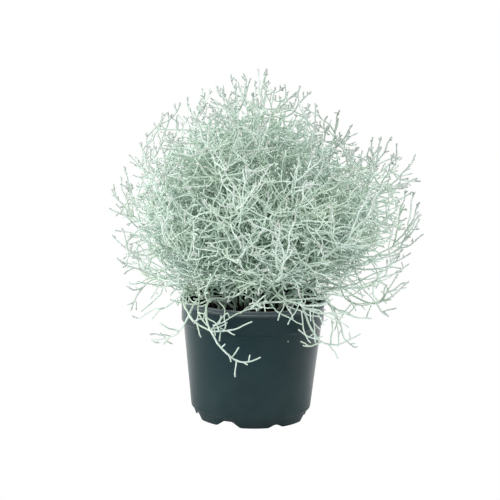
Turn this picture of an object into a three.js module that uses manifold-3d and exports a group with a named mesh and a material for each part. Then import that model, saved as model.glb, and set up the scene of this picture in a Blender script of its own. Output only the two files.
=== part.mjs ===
// Potted cushion bush: a dense ball of thin, silvery, felted stems in a dark plastic nursery pot.
// Sizes are in millimetres, +Z is up and -Y is the front.
// The origin is on the pot's axis, in the plane that the pot stands on.

import * as THREE from 'three';
import { mergeVertices } from 'three/addons/utils/BufferGeometryUtils.js';
import Module from 'manifold-3d';

const wasm = await Module();
wasm.setup();

// Pot: a 13 cm nursery pot
const roundSteps = 32;
const potHeight = 109.4;
const potWall = 1.4;
const lipRadius = 65;
const lipHeight = 5;
const lipRound = 1;
const bandRadius = 64;
const bandDraft = 0.4;
const bandStep = 1.6;
const bandFoot = 86.5;
const wallTopRadius = 61.9;
const wallFootRadius = 53.5;
const footHeight = 8.6;
const footRadius = 52.2;
const footDraft = 3.2;
const floorHeight = 6.8;
const padRadius = 10;
const padSlope = 3;
const drainCount = 7;
const drainRadius = 4.5;
const drainRingRadius = 37;
const largeNotch = { width: 23, crown: 8, height: 5 };
const smallNotch = { width: 14, crown: 3, height: 2.6 };
const notchRound = 0.8;
const notchReach = 9;
const firstNotchTurn = -114;

// Soil
const fitGap = 0.3;
const soilHeight = 98;
const soilMound = 2.5;
const soilRingCount = 4;
const holeSides = 4;
const rootFoot = 84;

// Plant: wiry stems that fan out from the crown, each with branches and twigs
const crownHeight = 100;
const sproutHeight = 104;
const domeStemCount = 28;
const domeRootRadius = 27;
const domeLowestRise = 13;
const steepShare = 1.6;
const goldenTurn = 137.508;
const leader = { radius: 1.18, rootRadius: 1.18, sides: 4, steps: 7 };
const branch = { radius: 1.03, rootRadius: 0.62, sides: 3, steps: 3 };
const twig = { radius: 1, rootRadius: 0.46, sides: 3, steps: 1 };

// Bend of the main stems, in degrees but for the handle, which is a share of the stem's span
const bend = {
  turnDrift: 7,
  riseDrift: 3,
  frontLift: 8,
  lean: 14,
  sway: 22,
  tipSway: 30,
  curl: [14, 34],
  handle: 0.36,
};

// Side shoots: how many, how long, at which shares of their host and at which angles to it
const branchesPerStem = 7;
const branchSpan = [0.22, 0.96];
const longestBranch = 108;
const shortestBranch = 42;
const hangingHeight = 140;
const hangingBranches = 3;
const hangingSpan = [0.16, 0.5];
const hangingShare = 0.6;
const branchAngles = [32, 54];
const steepestFall = -0.3;
const branchUpturn = 0.75;
const branchOutturn = 0.35;
const leaderTwigs = [0.84];
const branchTwigs = [[], [], [0.6], []];
const twigAngles = [42, 72];
const longestTwig = 19;

// Room that the shoots leave to the pot, the soil and each other
const stemClearance = 0.6;
const rootRoom = 4.5;
const potRoom = 3;
const soilRoom = 5;
const tries = 30;
const testCount = 16;
const seeds = { leader: 1009, branch: 20011, twig: 40009 };

// How far the bush reaches from the crown, at each rise above the horizontal, on its left and right
const riseMarks = [-30, 0, 20, 40, 60, 90];
const leftReach = [92, 112, 134, 168, 192, 221];
const rightReach = [96, 130, 154, 202, 184, 221];

// Stems placed by hand, each as root, two handles and tip: nine hang over the rim, one lifts the right side
const placedStems = [
  [[-16, -30, 104], [-60, -78, 158], [-34, -85, 46], [8, -77, 73]],
  [[-30, -18, 104], [-88, -40, 150], [-62, -72, 64], [0, -76, 103]],
  [[5, -34, 104], [-4, -64, 123], [31, -72, 112], [70, -60, 126]],
  [[22, -28, 104], [54, -74, 156], [32, -68, 54], [95, -38, 85]],
  [[34, -2, 104], [86, 2, 152], [92, -6, 70], [139, -8, 126]],
  [[-26, -26, 104], [-62, -48, 144], [-40, -66, 86], [-89, -30, 73]],
  [[-33, 8, 104], [-84, 8, 148], [-104, 4, 112], [-109, 2, 92]],
  [[14, 32, 104], [40, 82, 152], [36, 92, 52], [74, 96, 92]],
  [[-18, 30, 104], [-46, 76, 146], [-52, 92, 70], [-84, 84, 104]],
  [[31, 8, 104], [64, 16, 168], [114, 4, 188], [125, -4, 250]],
];

// Side shoots placed by hand on the hanging stems: the stem's number, the share along it and the way
// from there to the tip; where there are two ways, the shoot bends towards the first and ends at the second
const placedShoots = [
  [1, 0.72, [3, -2, 4]],
  [1, 0.81, [5, -4, 9]],
  [1, 0.84, [-1, -2, -16]],
  [1, 0.92, [1, -1, 5]],
  [2, 0.7, [2, -2, -6], [5, -3, -11]],
  [2, 0.78, [10, 3, -2], [17, 6, 5]],
  [2, 0.86, [-1, -3, -8]],
  [4, 0.75, [-10, -3, -1], [-19, -5, 9]],
  [4, 0.79, [-12, -3, -8], [-19, -4, -4]],
  [4, 0.86, [-1, 2, 10], [-1, 4, 21]],
  [4, 0.95, [-1, -1, 6]],
  [5, 0.84, [-2, -4, 9], [1, -6, 17]],
  [5, 0.78, [5, -3, -8], [12, -5, -12]],
  [6, 0.92, [-4, -1, 5]],
  [6, 0.8, [-8, -6, 1], [-16, -7, 7]],
  [7, 0.72, [-8, -6, -3], [-15, -8, 3]],
  [7, 0.9, [-6, -3, -1]],
  [8, 0.7, [-7, 3, -10], [-12, 4, -22]],
  [8, 0.88, [3, 4, -8]],
  [9, 0.74, [3, 5, -10], [9, 6, -17]],
  [9, 0.9, [-2, 5, 7]],
];

const degrees = Math.PI / 180;
const up = new THREE.Vector3(0, 0, 1);

const materials = {
  pot: new THREE.MeshStandardMaterial({ color: 0x34454a, roughness: 0.5, metalness: 0 }),
  soil: new THREE.MeshStandardMaterial({ color: 0x2b221c, roughness: 1, metalness: 0 }),
  stem: new THREE.MeshStandardMaterial({ color: 0xb4cabc, roughness: 0.9, metalness: 0 }),
};

// Solids

function toSolid(geometry) {
  const bare = geometry.clone();
  bare.deleteAttribute('normal');
  bare.deleteAttribute('uv');
  const merged = mergeVertices(bare, 1e-4);
  return new wasm.Manifold(new wasm.Mesh({
    numProp: 3,
    vertProperties: new Float32Array(merged.attributes.position.array),
    triVerts: new Uint32Array(merged.index.array),
  }));
}

function toGeometry(solid) {
  const mesh = solid.getMesh();
  const geometry = new THREE.BufferGeometry();
  geometry.setAttribute('position', new THREE.BufferAttribute(new Float32Array(mesh.vertProperties), 3));
  geometry.setIndex(new THREE.BufferAttribute(new Uint32Array(mesh.triVerts), 1));
  geometry.computeVertexNormals();
  return geometry;
}

function named(name, solid, material) {
  const mesh = new THREE.Mesh(toGeometry(solid), material);
  mesh.name = name;
  return mesh;
}

// A solid of revolution about Z, from a profile of [radius, height] points
function turned(profile) {
  const points = profile.map(([radius, height]) => new THREE.Vector2(radius, height));
  return new THREE.LatheGeometry(points, roundSteps).rotateX(Math.PI / 2);
}

// An upright prism whose lower end is at the given height
function post(x, y, foot, height, radius, sides) {
  const geometry = new THREE.CylinderGeometry(radius, radius, height, sides);
  return geometry.rotateX(Math.PI / 2).translate(x, y, foot + height / 2);
}

// Pot

// The outside of the foot, which leans inwards down to its edge
function footRadiusAt(height) {
  return footRadius - footDraft * (1 - height / footHeight);
}

function potProfile() {
  const lipFoot = potHeight - lipHeight;
  const bandInside = bandRadius - bandDraft - potWall;
  const floorTop = floorHeight + potWall;
  const floorRadius = footRadiusAt(floorHeight) - potWall;
  return [
    [0, 0],
    [padRadius, 0],
    [padRadius + padSlope, floorHeight],
    [floorRadius, floorHeight],
    [footRadiusAt(0) - potWall, 0],
    [footRadiusAt(0), 0],
    [footRadius, footHeight],
    [wallFootRadius, footHeight + lipRound],
    [wallTopRadius, bandFoot],
    [bandRadius - bandDraft, bandFoot + bandStep],
    [bandRadius, lipFoot],
    [lipRadius, lipFoot + lipRound],
    [lipRadius, potHeight - lipRound],
    [lipRadius - lipRound, potHeight],
    [bandInside + lipRound, potHeight],
    [bandInside, potHeight - lipRound],
    [bandInside, bandFoot + bandStep + potWall / 2],
    [wallTopRadius - potWall, bandFoot + potWall / 2],
    [wallFootRadius - potWall, footHeight + lipRound + potWall],
    [floorRadius, floorTop],
    [padRadius + padSlope + potWall, floorTop],
    [padRadius + potWall, potWall],
    [0, potWall],
  ];
}

// A notch in the foot with sloping sides, as a prism that runs out through the skirt along +X
function notchCutter({ width, crown, height }) {
  const foot = width / 2;
  const shoulder = crown / 2 + notchRound;
  const outline = new THREE.Shape();
  outline.moveTo(-foot - 1, -1);
  outline.lineTo(foot + 1, -1);
  outline.lineTo(shoulder, height - notchRound);
  outline.lineTo(crown / 2 - notchRound, height);
  outline.lineTo(notchRound - crown / 2, height);
  outline.lineTo(-shoulder, height - notchRound);
  outline.closePath();
  const prism = new THREE.ExtrudeGeometry(outline, { depth: 2 * notchReach, bevelEnabled: false });
  return prism.rotateX(Math.PI / 2).rotateZ(Math.PI / 2).translate(footRadius - notchReach, 0, 0);
}

function makePot() {
  let pot = toSolid(turned(potProfile()));
  for (let k = 0; k < drainCount; k += 1) {
    const turn = (firstNotchTurn + k * 360 / drainCount) * degrees;
    const notch = notchCutter(k % 2 === 0 ? largeNotch : smallNotch);
    const drain = post(drainRingRadius, 0, floorHeight - potWall, 3 * potWall, drainRadius, 8);
    pot = pot.subtract(toSolid(notch.rotateZ(turn)));
    pot = pot.subtract(toSolid(drain.rotateZ(turn)));
  }
  return named('pot', pot, materials.pot);
}

// Soil

function soilBump(x, y) {
  const wide = 0.9 * Math.sin(x * 0.21 + 1.3) * Math.cos(y * 0.17);
  const fine = 0.7 * Math.sin(x * 0.43 - y * 0.37);
  return wide + fine;
}

function soilProfile() {
  const inset = potWall + fitGap;
  const edge = bandRadius - bandDraft - inset;
  const profile = [
    [0, inset],
    [padRadius + potWall - fitGap, inset],
    [padRadius + padSlope + potWall - fitGap, floorHeight + inset],
    [footRadiusAt(floorHeight) - inset, floorHeight + inset],
    [wallFootRadius - inset, footHeight + lipRound + inset],
    [wallTopRadius - inset, bandFoot + inset / 2],
    [edge, bandFoot + bandStep + inset],
  ];
  for (let ring = 0; ring <= soilRingCount; ring += 1) {
    const share = 1 - ring / soilRingCount;
    profile.push([edge * share, soilHeight + soilMound * (1 - share * share)]);
  }
  return profile;
}

function makeSoil(stems) {
  const geometry = turned(soilProfile());
  const position = geometry.attributes.position;
  for (let k = 0; k < position.count; k += 1) {
    if (position.getZ(k) > soilHeight - 1) {
      position.setZ(k, position.getZ(k) + soilBump(position.getX(k), position.getY(k)));
    }
  }
  let soil = toSolid(geometry);
  const holeRadius = (leader.radius + fitGap) / Math.cos(Math.PI / holeSides);
  const holeFoot = rootFoot - fitGap;
  for (const stem of stems) {
    const hole = post(stem.root.x, stem.root.y, holeFoot, sproutHeight - holeFoot, holeRadius, holeSides);
    soil = soil.subtract(toSolid(hole));
  }
  return named('potting_soil', soil, materials.soil);
}

// Growth of the plant

// The same run of numbers between 0 and 1 each time, from a seed
function seededDraw(seed) {
  let state = seed;
  const draw = () => {
    state = (state * 48271) % 2147483647;
    return state / 2147483647;
  };
  draw();
  draw();
  return draw;
}

function mixed(from, to, share) {
  return from + (to - from) * share;
}

function direction(turn, rise) {
  const flat = Math.cos(rise * degrees);
  return new THREE.Vector3(
    flat * Math.cos(turn * degrees),
    flat * Math.sin(turn * degrees),
    Math.sin(rise * degrees),
  );
}

// The reach of the bush from the crown towards a turn about Z and a rise above the horizontal
function reach(turn, rise) {
  let mark = 0;
  while (mark < riseMarks.length - 2 && rise > riseMarks[mark + 1]) {
    mark += 1;
  }
  const share = (rise - riseMarks[mark]) / (riseMarks[mark + 1] - riseMarks[mark]);
  const left = mixed(leftReach[mark], leftReach[mark + 1], share);
  const right = mixed(rightReach[mark], rightReach[mark + 1], share);
  return mixed(left, right, 0.5 + 0.5 * Math.cos(turn * degrees));
}

function insideBush(point) {
  const flat = Math.hypot(point.x, point.y);
  const height = point.z - crownHeight;
  const rise = Math.atan2(height, flat) / degrees;
  const turn = Math.atan2(point.y, point.x) / degrees;
  return Math.hypot(flat, height) < reach(turn, rise);
}

// Whether a point on a stem clears the soil, the rim and the outside of the pot
function clearsPot(point) {
  const flat = Math.hypot(point.x, point.y);
  if (flat < bandRadius - 2 * potRoom) {
    return point.z > crownHeight + soilRoom;
  }
  if (flat < lipRadius + potRoom) {
    return point.z > potHeight + potRoom;
  }
  return true;
}

// The shortest way between two straight stretches
function stretchGap(a, b, c, d) {
  const ab = b.clone().sub(a);
  const cd = d.clone().sub(c);
  const ca = a.clone().sub(c);
  const abSquare = ab.dot(ab);
  const cdSquare = cd.dot(cd);
  const across = ab.dot(cd);
  const abLag = ab.dot(ca);
  const cdLag = cd.dot(ca);
  const spread = abSquare * cdSquare - across * across;
  let s = spread > 1e-9 ? (across * cdLag - abLag * cdSquare) / spread : 0;
  s = Math.min(1, Math.max(0, s));
  let t = (across * s + cdLag) / cdSquare;
  if (t < 0) {
    t = 0;
    s = Math.min(1, Math.max(0, -abLag / abSquare));
  } else if (t > 1) {
    t = 1;
    s = Math.min(1, Math.max(0, (across - abLag) / abSquare));
  }
  return ca.addScaledVector(ab, s).addScaledVector(cd, -t).length();
}

// The centre line of a shoot, in straight steps through its points
class StepCurve extends THREE.Curve {
  constructor(points) {
    super();
    this.points = points;
  }

  getPoint(share) {
    const place = share * (this.points.length - 1);
    const step = Math.min(Math.floor(place), this.points.length - 2);
    return this.points[step].clone().lerp(this.points[step + 1], place - step);
  }

  // Even shares of the curve are whole steps, however long each step is
  getUtoTmapping(share) {
    return share;
  }
}

// A main stem rises straight out of the soil and then follows its arch
function leaderPoints(arch) {
  const points = arch.getPoints(leader.steps - 1);
  return [points[0].clone().setZ(rootFoot), ...points];
}

// A shoot is one length of a stem: a leader, or a branch or twig that grows on a host shoot
function makeShoot(stem, kind, points, host) {
  return { stem, kind, points, curve: new StepCurve(points), host };
}

// Whether a new shoot stays clear of all shoots that are already there, away from its own root
function clearsShoots(shoot, shoots) {
  for (const other of shoots) {
    const room = shoot.kind.radius + other.kind.radius + stemClearance;
    const family = other === shoot.host || (other.host === shoot.host && other.stem === shoot.stem);
    for (let i = 1; i < shoot.points.length; i += 1) {
      const start = shoot.points[i - 1].clone();
      if (i === 1 && family) {
        const along = shoot.points[1].clone().sub(start);
        start.addScaledVector(along.normalize(), rootRoom);
      }
      for (let j = 1; j < other.points.length; j += 1) {
        if (stretchGap(start, shoot.points[i], other.points[j - 1], other.points[j]) < room) {
          return false;
        }
      }
    }
  }
  return true;
}

// The places along a shoot, past its root, where its way is tested
function testPlaces(shoot) {
  const first = shoot.kind === leader ? 1 / leader.steps : 0;
  const places = [];
  for (let k = 1; k <= testCount; k += 1) {
    places.push(shoot.curve.getPoint(mixed(first, 1, k / testCount)));
  }
  return places;
}

function fits(shoot, shoots) {
  const places = testPlaces(shoot);
  return places.every(clearsPot) && insideBush(places[testCount - 1]) && clearsShoots(shoot, shoots);
}

// A side direction at an angle to the host, turned round it by a roll
function sideways(tangent, roll, angle) {
  const across = new THREE.Vector3().crossVectors(tangent, up).normalize();
  across.applyAxisAngle(tangent, roll * degrees);
  const along = tangent.clone().multiplyScalar(Math.cos(angle * degrees));
  return along.addScaledVector(across, Math.sin(angle * degrees));
}

// A main stem that arches from the crown to a point on the outside of the bush
function domeArch(index, draw) {
  const spread = (most) => mixed(-most, most, draw());
  const order = (index + 0.5) / domeStemCount;
  const turn = index * goldenTurn + spread(bend.turnDrift);
  const lowest = Math.sin(domeLowestRise * degrees);
  const even = Math.asin(1 - order ** steepShare * (1 - lowest)) / degrees;
  const lift = bend.frontLift * order * Math.max(0, -Math.sin(turn * degrees));
  const rise = Math.min(89, even + lift + spread(bend.riseDrift));
  const root = direction(index * goldenTurn, 0).multiplyScalar(domeRootRadius * Math.sqrt(order));
  root.z = sproutHeight;
  const tip = direction(turn, rise).multiplyScalar(reach(turn, rise) * mixed(0.94, 0.995, draw()));
  tip.z += crownHeight;
  const handle = root.distanceTo(tip) * bend.handle;
  const first = direction(turn + spread(bend.sway), Math.min(86, rise + bend.lean));
  const last = direction(turn + spread(bend.tipSway), Math.min(84, rise + mixed(...bend.curl, draw())));
  const firstHandle = root.clone().addScaledVector(first, handle);
  const lastHandle = tip.clone().addScaledVector(last, -handle);
  return new THREE.CubicBezierCurve3(root, firstHandle, lastHandle, tip);
}

function growLeaders() {
  const shoots = placedStems.map((places, stem) => {
    const arch = new THREE.CubicBezierCurve3(...places.map((place) => new THREE.Vector3(...place)));
    return makeShoot(stem, leader, leaderPoints(arch), null);
  });
  for (let index = 0; index < domeStemCount; index += 1) {
    const draw = seededDraw(seeds.leader + 31 * index);
    const stem = placedStems.length + index;
    let shoot = null;
    for (let k = 0; k < tries && (shoot === null || !fits(shoot, shoots)); k += 1) {
      shoot = makeShoot(stem, leader, leaderPoints(domeArch(index, draw)), null);
    }
    shoots.push(shoot);
  }
  return shoots;
}

// A curved branch leaves its host at an angle and turns up and outward
function branchPoints(host, along, length, draw) {
  const root = host.curve.getPoint(along);
  const tangent = host.curve.getTangent(along);
  const leaving = sideways(tangent, 360 * draw(), mixed(...branchAngles, draw()));
  leaving.z = Math.max(leaving.z, steepestFall);
  leaving.normalize();
  const outward = new THREE.Vector3(root.x, root.y, 0).normalize();
  const ending = leaving.clone().addScaledVector(up, branchUpturn).addScaledVector(outward, branchOutturn);
  ending.normalize();
  const middle = root.clone().addScaledVector(leaving, length / 2);
  const tip = middle.clone().addScaledVector(ending, length / 2);
  return new THREE.QuadraticBezierCurve3(root, middle, tip).getPoints(branch.steps);
}

function twigPoints(host, along, length, draw) {
  const root = host.curve.getPoint(along);
  const leaving = sideways(host.curve.getTangent(along), 360 * draw(), mixed(...twigAngles, draw()));
  return [root, root.clone().addScaledVector(leaving, length)];
}

function placedShoot(host, along, ways) {
  const root = host.curve.getPoint(along);
  const [first, last] = ways.map((way) => root.clone().add(new THREE.Vector3(...way)));
  if (last === undefined) {
    return makeShoot(host.stem, twig, [root, first], host);
  }
  const arch = new THREE.QuadraticBezierCurve3(root, first, last);
  return makeShoot(host.stem, branch, arch.getPoints(branch.steps), host);
}

// Adds a shoot to a host where one fits
function sprout(host, kind, along, longest, shoots, draw) {
  const route = kind === branch ? branchPoints : twigPoints;
  for (let k = 0; k < tries; k += 1) {
    const length = longest * mixed(0.75, 1, draw()) * (1 - 0.5 * k / tries);
    const shoot = makeShoot(host.stem, kind, route(host, along, length, draw), host);
    if (fits(shoot, shoots)) {
      shoots.push(shoot);
      return;
    }
  }
}

function growBranches(host, shoots) {
  const draw = seededDraw(seeds.branch + 53 * host.stem);
  const hangs = host.curve.getPoint(1).z < hangingHeight;
  const count = hangs ? hangingBranches : branchesPerStem;
  const span = hangs ? hangingSpan : branchSpan;
  const size = hangs ? hangingShare : 1;
  for (let k = 0; k < count; k += 1) {
    const along = mixed(...span, (k + draw() * 0.7) / count);
    sprout(host, branch, along, size * mixed(longestBranch, shortestBranch, along), shoots, draw);
  }
}

function growTwigs(hosts, shoots) {
  const draw = seededDraw(seeds.twig + 71 * hosts[0].stem);
  for (const [order, host] of hosts.entries()) {
    const places = host.kind === leader ? leaderTwigs : branchTwigs[order % branchTwigs.length];
    for (const place of places) {
      sprout(host, twig, place + mixed(-0.06, 0.04, draw()), longestTwig, shoots, draw);
    }
  }
}

function growPlant() {
  const leaders = growLeaders();
  const placed = placedShoots.map(([number, along, ...ways]) => placedShoot(leaders[number - 1], along, ways));
  const shoots = [...leaders, ...placed];
  leaders.forEach((host) => growBranches(host, shoots));
  for (const host of leaders) {
    growTwigs(shoots.filter((shoot) => shoot.stem === host.stem && shoot.kind !== twig), shoots);
  }
  return leaders.map((host) => ({
    root: host.points[0],
    shoots: shoots.filter((shoot) => shoot.stem === host.stem),
  }));
}

// Stems as solids

function section(sides, radius) {
  const shape = new THREE.Shape();
  for (let k = 0; k < sides; k += 1) {
    const turn = k * 2 * Math.PI / sides;
    const corner = [radius * Math.cos(turn), radius * Math.sin(turn)];
    if (k === 0) {
      shape.moveTo(...corner);
    } else {
      shape.lineTo(...corner);
    }
  }
  shape.closePath();
  return shape;
}

// A side shoot narrows at its root, so that the end sits wholly inside its host
function shootSolid(shoot) {
  const { kind } = shoot;
  const options = { steps: kind.steps, bevelEnabled: false, extrudePath: shoot.curve };
  const geometry = new THREE.ExtrudeGeometry(section(kind.sides, kind.radius), options);
  if (shoot.host !== null) {
    narrowRoot(geometry.attributes.position, shoot);
  }
  return toSolid(geometry);
}

function narrowRoot(position, shoot) {
  const root = shoot.points[0];
  const corner = new THREE.Vector3();
  for (let k = 0; k < position.count; k += 1) {
    corner.fromBufferAttribute(position, k);
    if (corner.distanceTo(root) < shoot.kind.radius * 1.01) {
      corner.lerp(root, 1 - shoot.kind.rootRadius / shoot.kind.radius);
      position.setXYZ(k, corner.x, corner.y, corner.z);
    }
  }
}

function makeStem(stem, index) {
  const [first, ...others] = stem.shoots;
  let solid = shootSolid(first);
  for (const shoot of others) {
    solid = solid.add(shootSolid(shoot));
  }
  return named(`stem_${String(index + 1).padStart(2, '0')}`, solid, materials.stem);
}

const stems = growPlant();

const bush = new THREE.Group();
bush.name = 'potted_cushion_bush';
bush.add(makePot());
bush.add(makeSoil(stems));
stems.forEach((stem, index) => bush.add(makeStem(stem, index)));

export default bush;
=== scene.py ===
"""A potted cushion bush: a dense ball of thin, silvery, felted stems in a dark plastic nursery pot.

Sizes are in millimetres until a mesh is made. +Z is up, -Y is the front, and the origin is on the
pot's axis, in the plane that the pot stands on.
"""

import logging
import math
from dataclasses import dataclass, field
from enum import Enum

import bmesh
import bpy
import numpy as np
from mathutils import Matrix, Quaternion, Vector

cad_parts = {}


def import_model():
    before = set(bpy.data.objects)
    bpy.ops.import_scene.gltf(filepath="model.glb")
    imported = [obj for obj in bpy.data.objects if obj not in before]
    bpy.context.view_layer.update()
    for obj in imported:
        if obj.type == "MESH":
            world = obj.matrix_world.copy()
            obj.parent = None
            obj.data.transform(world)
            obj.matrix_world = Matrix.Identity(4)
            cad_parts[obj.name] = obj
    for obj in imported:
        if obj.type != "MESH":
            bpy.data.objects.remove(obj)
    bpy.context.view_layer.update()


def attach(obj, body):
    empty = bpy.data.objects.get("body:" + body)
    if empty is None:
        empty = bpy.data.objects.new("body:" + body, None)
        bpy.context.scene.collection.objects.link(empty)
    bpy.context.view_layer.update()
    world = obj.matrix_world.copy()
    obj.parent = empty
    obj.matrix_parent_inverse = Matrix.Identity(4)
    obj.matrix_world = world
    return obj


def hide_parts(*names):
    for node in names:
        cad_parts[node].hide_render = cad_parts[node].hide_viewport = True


Array = np.ndarray
Socket = bpy.types.NodeSocket
Pair = tuple[float, float]
Triple = tuple[float, float, float]
Colour = Triple

LOG = logging.getLogger("cushion_bush")
MM = 0.001
GOLDEN_TURN = 137.508
UP = np.array([0.0, 0.0, 1.0])
SLANT = np.array([0.31, 0.74, 0.59])
LEAST_LENGTH = 1e-12
NEARLY_NONE = 1e-9
NUDGE = 0.0001
FILLET_SHARE = 0.48

# The bush's main measures, the same as in the solid model
CROWN_HEIGHT = 100.0
SPROUT_HEIGHT = 104.0
ROOT_FOOT = 84.0
POT_HEIGHT = 109.4
LIP_RADIUS = 65.0
BAND_RADIUS = 64.0


def mixed(start: float, end: float, share: float) -> float:
    """Gives the value at a share of the way from start to end."""
    return start + (end - start) * share


def direction(turn: float, rise: float) -> Array:
    """Gives the unit vector at a turn about Z and a rise above the horizontal, in degrees."""
    flat, up = math.cos(math.radians(rise)), math.sin(math.radians(rise))
    return np.array([flat * math.cos(math.radians(turn)), flat * math.sin(math.radians(turn)), up])


def unit(vectors: Array) -> Array:
    """Scales vectors, along the last axis, to length one."""
    return vectors / np.maximum(np.linalg.norm(vectors, axis=-1, keepdims=True), LEAST_LENGTH)


def bezier(control: Array, shares: Array) -> Array:
    """Samples Bezier curves of any order.

    Args:
        control: The control points, with shape (..., count, 3).
        shares: The places along the curves, from 0 to 1.

    Returns:
        The points, with shape (..., len(shares), 3).
    """
    last = control.shape[-2] - 1
    weights = [math.comb(last, k) * shares**k * (1 - shares) ** (last - k) for k in range(last + 1)]
    return np.einsum("ks,...kc->...sc", np.array(weights), control)


def stepped(control: Array, steps: int) -> Array:
    """Gives the points of a Bezier curve at the ends of equal steps along it."""
    return bezier(control, np.arange(steps + 1) / steps)


def even_turns(count: int) -> Array:
    """Gives the turns of points that lie evenly round a ring, in radians."""
    return np.arange(count) * 2 * np.pi / count


class Order(Enum):
    """The orders of shoots, from the soil outwards."""

    LEADER = "leader"
    BRANCH = "branch"
    SIDE = "side"
    TWIG = "twig"
    BUD = "bud"


class SeededDraw:
    """Runs of numbers between 0 and 1 that are the same each time, one run for each place in a row."""

    factor = 48271
    modulus = 2147483647

    def __init__(self, first: int, stride: int, place: int) -> None:
        """Starts the run of a place, past its first two numbers."""
        self.state = (first + stride * place) * self.factor**2 % self.modulus

    def __call__(self) -> float:
        """Draws the next number."""
        self.state = self.state * self.factor % self.modulus
        return self.state / self.modulus


@dataclass(frozen=True)
class BushOutline:
    """How far the bush reaches from its crown, at each rise above the horizontal, left and right."""

    rises: tuple[float, ...] = (-30, 0, 20, 40, 60, 90)
    left: tuple[float, ...] = (92, 112, 134, 168, 192, 221)
    right: tuple[float, ...] = (96, 130, 154, 202, 184, 221)

    def reach(self, turn: float, rise: float) -> float:
        """Gives how far the bush reaches in one direction.

        Args:
            turn: The turn about Z, in degrees.
            rise: The angle above the horizontal, in degrees.

        Returns:
            How far it is from the crown to the outline.
        """
        mark = 0
        while mark < len(self.rises) - 2 and rise > self.rises[mark + 1]:
            mark += 1
        share = (rise - self.rises[mark]) / (self.rises[mark + 1] - self.rises[mark])
        left = mixed(self.left[mark], self.left[mark + 1], share)
        right = mixed(self.right[mark], self.right[mark + 1], share)
        return mixed(left, right, 0.5 + 0.5 * math.cos(math.radians(turn)))

    def fullness(self, points: Array) -> Array:
        """Gives how far out points lie, as a share of the reach in their direction.

        Args:
            points: The points, with shape (..., 3).

        Returns:
            The share for each point, which is 1 on the outline.
        """
        flat = np.hypot(points[..., 0], points[..., 1])
        height = points[..., 2] - CROWN_HEIGHT
        rise = np.degrees(np.arctan2(height, flat))
        lean = 0.5 + 0.5 * points[..., 0] / np.maximum(flat, NEARLY_NONE)
        left = np.interp(rise, self.rises, self.left)
        right = np.interp(rise, self.rises, self.right)
        return np.hypot(flat, height) / (left + (right - left) * lean)


@dataclass(frozen=True)
class PotRoom:
    """The room that shoots leave to the pot and the soil."""

    inside: float = BAND_RADIUS - 6.0
    outside: float = LIP_RADIUS + 3.0
    over_soil: float = CROWN_HEIGHT + 5.0
    over_rim: float = POT_HEIGHT + 3.0

    def clears(self, points: Array, slack: float = 0.0) -> Array:
        """Tells which points clear the soil, the rim and the outside of the pot.

        Args:
            points: The points, with shape (..., 3).
            slack: How much less room is enough.

        Returns:
            True for each point that is clear.
        """
        flat = np.hypot(points[..., 0], points[..., 1])
        height = points[..., 2] + slack
        over = np.where(flat < self.inside, height > self.over_soil, height > self.over_rim)
        return over | (flat >= self.outside - slack)


@dataclass(frozen=True)
class FrameForm:
    """One order of shoots in the solid model: its thickness and its count of straight steps."""

    radius: float
    steps: int


@dataclass(eq=False)
class Shoot:
    """One length of stem as the solid model has it: a leader, or a branch or twig on a host."""

    stem: int
    order: Order
    points: Array
    control: Array
    host: "Shoot | None" = None

    def point(self, share: float) -> Array:
        """Gives the point at a share of the shoot's straight steps.

        Args:
            share: The share, from 0 at the root to 1 at the tip.

        Returns:
            The point.
        """
        place = share * (len(self.points) - 1)
        step = min(math.floor(place), len(self.points) - 2)
        return self.points[step] + (self.points[step + 1] - self.points[step]) * (place - step)

    def tangent(self, share: float) -> Array:
        """Gives the direction of the shoot at a share of its steps."""
        return unit(self.point(min(1.0, share + NUDGE)) - self.point(max(0.0, share - NUDGE)))


# Stems placed one by one, each as root, two handles and tip: nine hang over the rim, one lifts the right
# side
PLACED_STEMS = (
    ((-16, -30, 104), (-60, -78, 158), (-34, -85, 46), (8, -77, 73)),
    ((-30, -18, 104), (-88, -40, 150), (-62, -72, 64), (0, -76, 103)),
    ((5, -34, 104), (-4, -64, 123), (31, -72, 112), (70, -60, 126)),
    ((22, -28, 104), (54, -74, 156), (32, -68, 54), (95, -38, 85)),
    ((34, -2, 104), (86, 2, 152), (92, -6, 70), (139, -8, 126)),
    ((-26, -26, 104), (-62, -48, 144), (-40, -66, 86), (-89, -30, 73)),
    ((-33, 8, 104), (-84, 8, 148), (-104, 4, 112), (-109, 2, 92)),
    ((14, 32, 104), (40, 82, 152), (36, 92, 52), (74, 96, 92)),
    ((-18, 30, 104), (-46, 76, 146), (-52, 92, 70), (-84, 84, 104)),
    ((31, 8, 104), (64, 16, 168), (114, 4, 188), (125, -4, 250)),
)

# Side shoots placed one by one on the hanging stems: the stem's number, the share along it and the ways
# from there to the handle, where there is one, and to the tip
PLACED_SHOOTS = (
    (1, 0.72, ((3, -2, 4),)),
    (1, 0.81, ((5, -4, 9),)),
    (1, 0.84, ((-1, -2, -16),)),
    (1, 0.92, ((1, -1, 5),)),
    (2, 0.7, ((2, -2, -6), (5, -3, -11))),
    (2, 0.78, ((10, 3, -2), (17, 6, 5))),
    (2, 0.86, ((-1, -3, -8),)),
    (4, 0.75, ((-10, -3, -1), (-19, -5, 9))),
    (4, 0.79, ((-12, -3, -8), (-19, -4, -4))),
    (4, 0.86, ((-1, 2, 10), (-1, 4, 21))),
    (4, 0.95, ((-1, -1, 6),)),
    (5, 0.84, ((-2, -4, 9), (1, -6, 17))),
    (5, 0.78, ((5, -3, -8), (12, -5, -12))),
    (6, 0.92, ((-4, -1, 5),)),
    (6, 0.8, ((-8, -6, 1), (-16, -7, 7))),
    (7, 0.72, ((-8, -6, -3), (-15, -8, 3))),
    (7, 0.9, ((-6, -3, -1),)),
    (8, 0.7, ((-7, 3, -10), (-12, 4, -22))),
    (8, 0.88, ((3, 4, -8),)),
    (9, 0.74, ((3, 5, -10), (9, 6, -17))),
    (9, 0.9, ((-2, 5, 7),)),
)


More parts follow.
